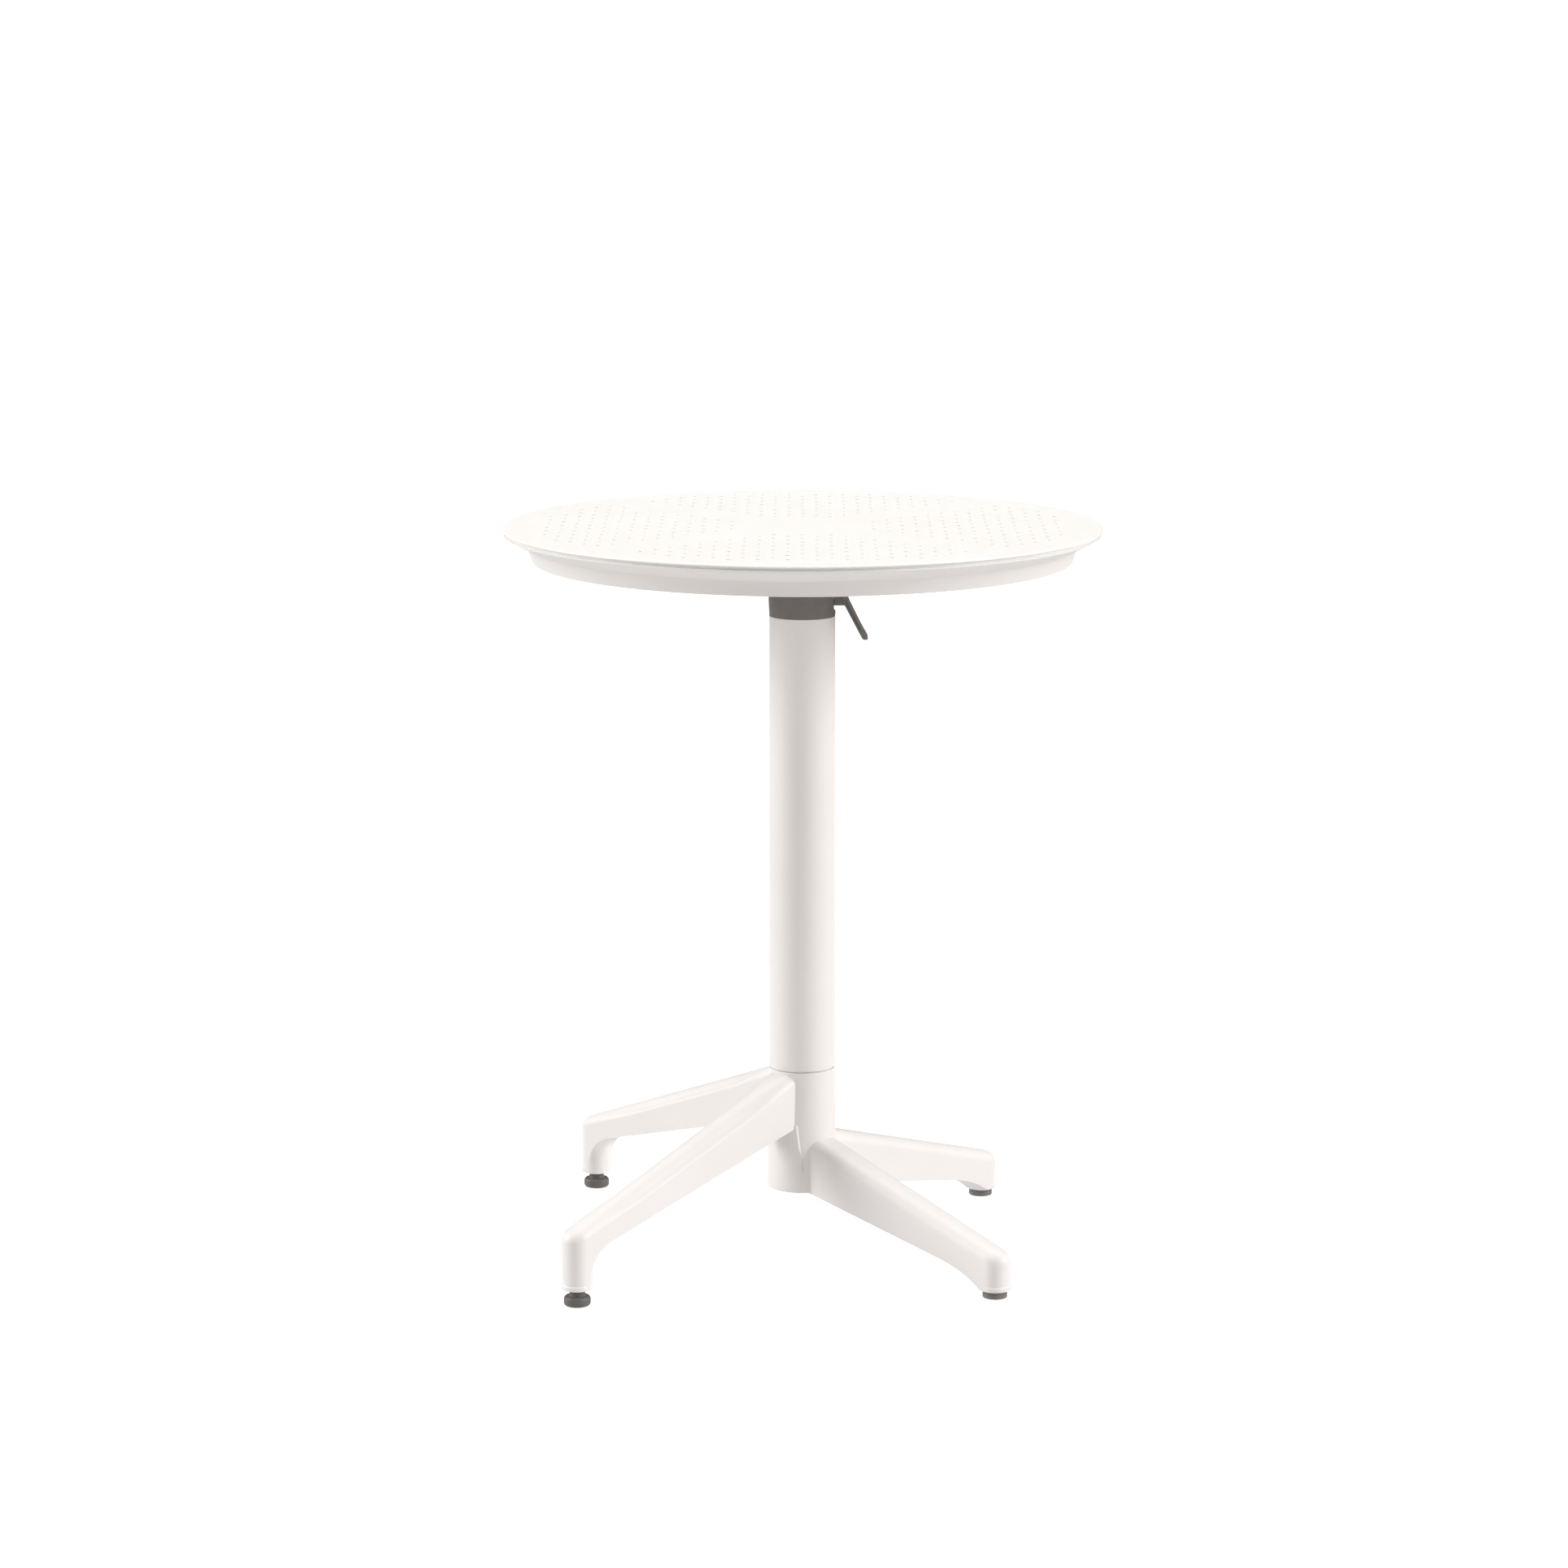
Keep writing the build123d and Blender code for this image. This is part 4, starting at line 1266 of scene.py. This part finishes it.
# A fixed pad with a fine groove round its edge, and the plug that holds it.
pad_outline = [
    (0, 0.5, 0), (8.6, 0.5, 0.3), (9.2, 0.0, 0.3), (12.2, 0.0, 1.2), (12.2, 4.6, 0.2), (11.8, 5.0, 0),
    (12.2, 5.4, 0.2), (12.2, 8.0, 0.2), (5.0, 8.0, 0), (5.0, 20.0, 0.5), (0, 20.0, 0),
]


def make_foot(node, outline, arc_steps):
    """A turned foot where its CAD node stands."""
    low, high = corners(node)
    centre = ((low.x + high.x) / 2, (low.y + high.y) / 2)
    return turned(rounded(outline, arc_steps), 64, centre)


for side in ("front", "back"):
    glide = side + "_left_glide"
    finish_piece(make_foot(glide, glide_outline, 6), side + "_screw_foot", glide, "glide_polymer", glide)
    pad = side + "_right_pad"
    foot = make_foot(pad, pad_outline, 5)
    # The pad's material is the glide polymer painted lighter, as painted light against the shade under it.
    finish_piece(foot, side + "_fixed_pad", "base", "glide_polymer", pad, material=materials["glide_polymer_painted_lighter"])


# ---- stage


def floor_material():
    """Brighter to the eye than to the table, and clear from below."""
    material = bpy.data.materials.new("floor")
    material.use_nodes = True
    tree = material.node_tree
    tree.nodes.clear()

    def lit(colour, strength):
        diffuse = add_node(tree, "ShaderNodeBsdfDiffuse", Color=(colour, colour, colour, 1))
        glow = add_node(tree, "ShaderNodeEmission", Strength=strength)
        both = tree.nodes.new("ShaderNodeAddShader")
        tree.links.new(diffuse.outputs["BSDF"], both.inputs[0])
        tree.links.new(glow.outputs["Emission"], both.inputs[1])
        return both.outputs["Shader"]

    seen = tree.nodes.new("ShaderNodeLightPath").outputs["Is Camera Ray"]
    below = tree.nodes.new("ShaderNodeNewGeometry").outputs["Backfacing"]
    clear = tree.nodes.new("ShaderNodeBsdfTransparent").outputs["BSDF"]
    to_table = choose(tree, below, lit(0.75, 0.55), clear)
    surface = choose(tree, seen, lit(0.12, 0.68), to_table)
    output = tree.nodes.new("ShaderNodeOutputMaterial")
    tree.links.new(surface, output.inputs["Surface"])
    return material


def choose(tree, chooser, first, second):
    """The first shader where the chooser is 0, the second where it is 1."""
    mix = tree.nodes.new("ShaderNodeMixShader")
    tree.links.new(chooser, mix.inputs["Fac"])
    tree.links.new(first, mix.inputs[1])
    tree.links.new(second, mix.inputs[2])
    return mix.outputs["Shader"]


def add_floor():
    """A plain pale floor, far wider than any view of the table."""
    bm = bmesh.new()
    bmesh.ops.create_circle(bm, cap_ends=True, radius=90, segments=64)
    mesh = bpy.data.meshes.new("floor")
    bm.to_mesh(mesh)
    bm.free()
    mesh.materials.append(floor_material())
    floor = in_scene("floor", mesh)


def add_soft_light(name, bearing, elevation, strength, softness):
    """A broad, distant light. Its bearing runs from the front, -Y, towards +X."""
    light = bpy.data.lights.new(name, "SUN")
    light.energy = strength
    light.angle = radians(softness)
    turn = radians(bearing)
    rise = radians(elevation)
    towards = Vector((sin(turn) * cos(rise), -cos(turn) * cos(rise), sin(rise)))
    in_scene(name, light).rotation_euler = towards.to_track_quat("Z", "Y").to_euler()


def add_surroundings():
    """Bright overhead, faint behind and dark elsewhere, but plain white to the camera."""
    world = bpy.data.worlds.new("studio")
    bpy.context.scene.world = world
    world.use_nodes = True
    tree = world.node_tree
    tree.nodes.clear()
    place = tree.nodes.new("ShaderNodeTexCoord")
    parts = tree.nodes.new("ShaderNodeSeparateXYZ")
    tree.links.new(place.outputs["Generated"], parts.inputs["Vector"])

    def ramp(axis, low, high, brightest):
        node = add_node(tree, "ShaderNodeMapRange", From_Min=low, From_Max=high, To_Max=brightest)
        node.interpolation_type = "SMOOTHSTEP"
        tree.links.new(parts.outputs[axis], node.inputs["Value"])
        return node.outputs["Result"]

    total = tree.nodes.new("ShaderNodeMath")
    total.operation = "ADD"
    tree.links.new(ramp("Z", 0.55, 0.95, 1.56), total.inputs[0])
    tree.links.new(ramp("Y", 0.2, 0.9, 0.1), total.inputs[1])
    glow = add_node(tree, "ShaderNodeBackground", Color=(1, 1, 1, 1))
    tree.links.new(total.outputs["Value"], glow.inputs["Strength"])
    white = add_node(tree, "ShaderNodeBackground", Color=(1, 1, 1, 1), Strength=1.1)
    seen = tree.nodes.new("ShaderNodeLightPath").outputs["Is Camera Ray"]
    surface = choose(tree, seen, glow.outputs["Background"], white.outputs["Background"])
    output = tree.nodes.new("ShaderNodeOutputWorld")
    tree.links.new(surface, output.inputs["Surface"])


def add_camera():
    camera = bpy.data.cameras.new("camera")
    camera.lens = 107.62
    camera.sensor_width = 36
    camera.clip_end = 300
    holder = in_scene("camera", camera)
    holder.location = (0, -4.6513, 1.3357)
    holder.rotation_euler = (pi / 2 - 0.18207, 0, 0.00395)
    bpy.context.scene.camera = holder


add_floor()
add_soft_light("right_softbox", 79, 25, 2.05, 32)
add_soft_light("left_softbox", -92, 25, 2.08, 33)
add_soft_light("front_fill", 0, 6, 0.35, 60)
add_surroundings()
add_camera()
bpy.context.scene.view_settings.view_transform = "Standard"
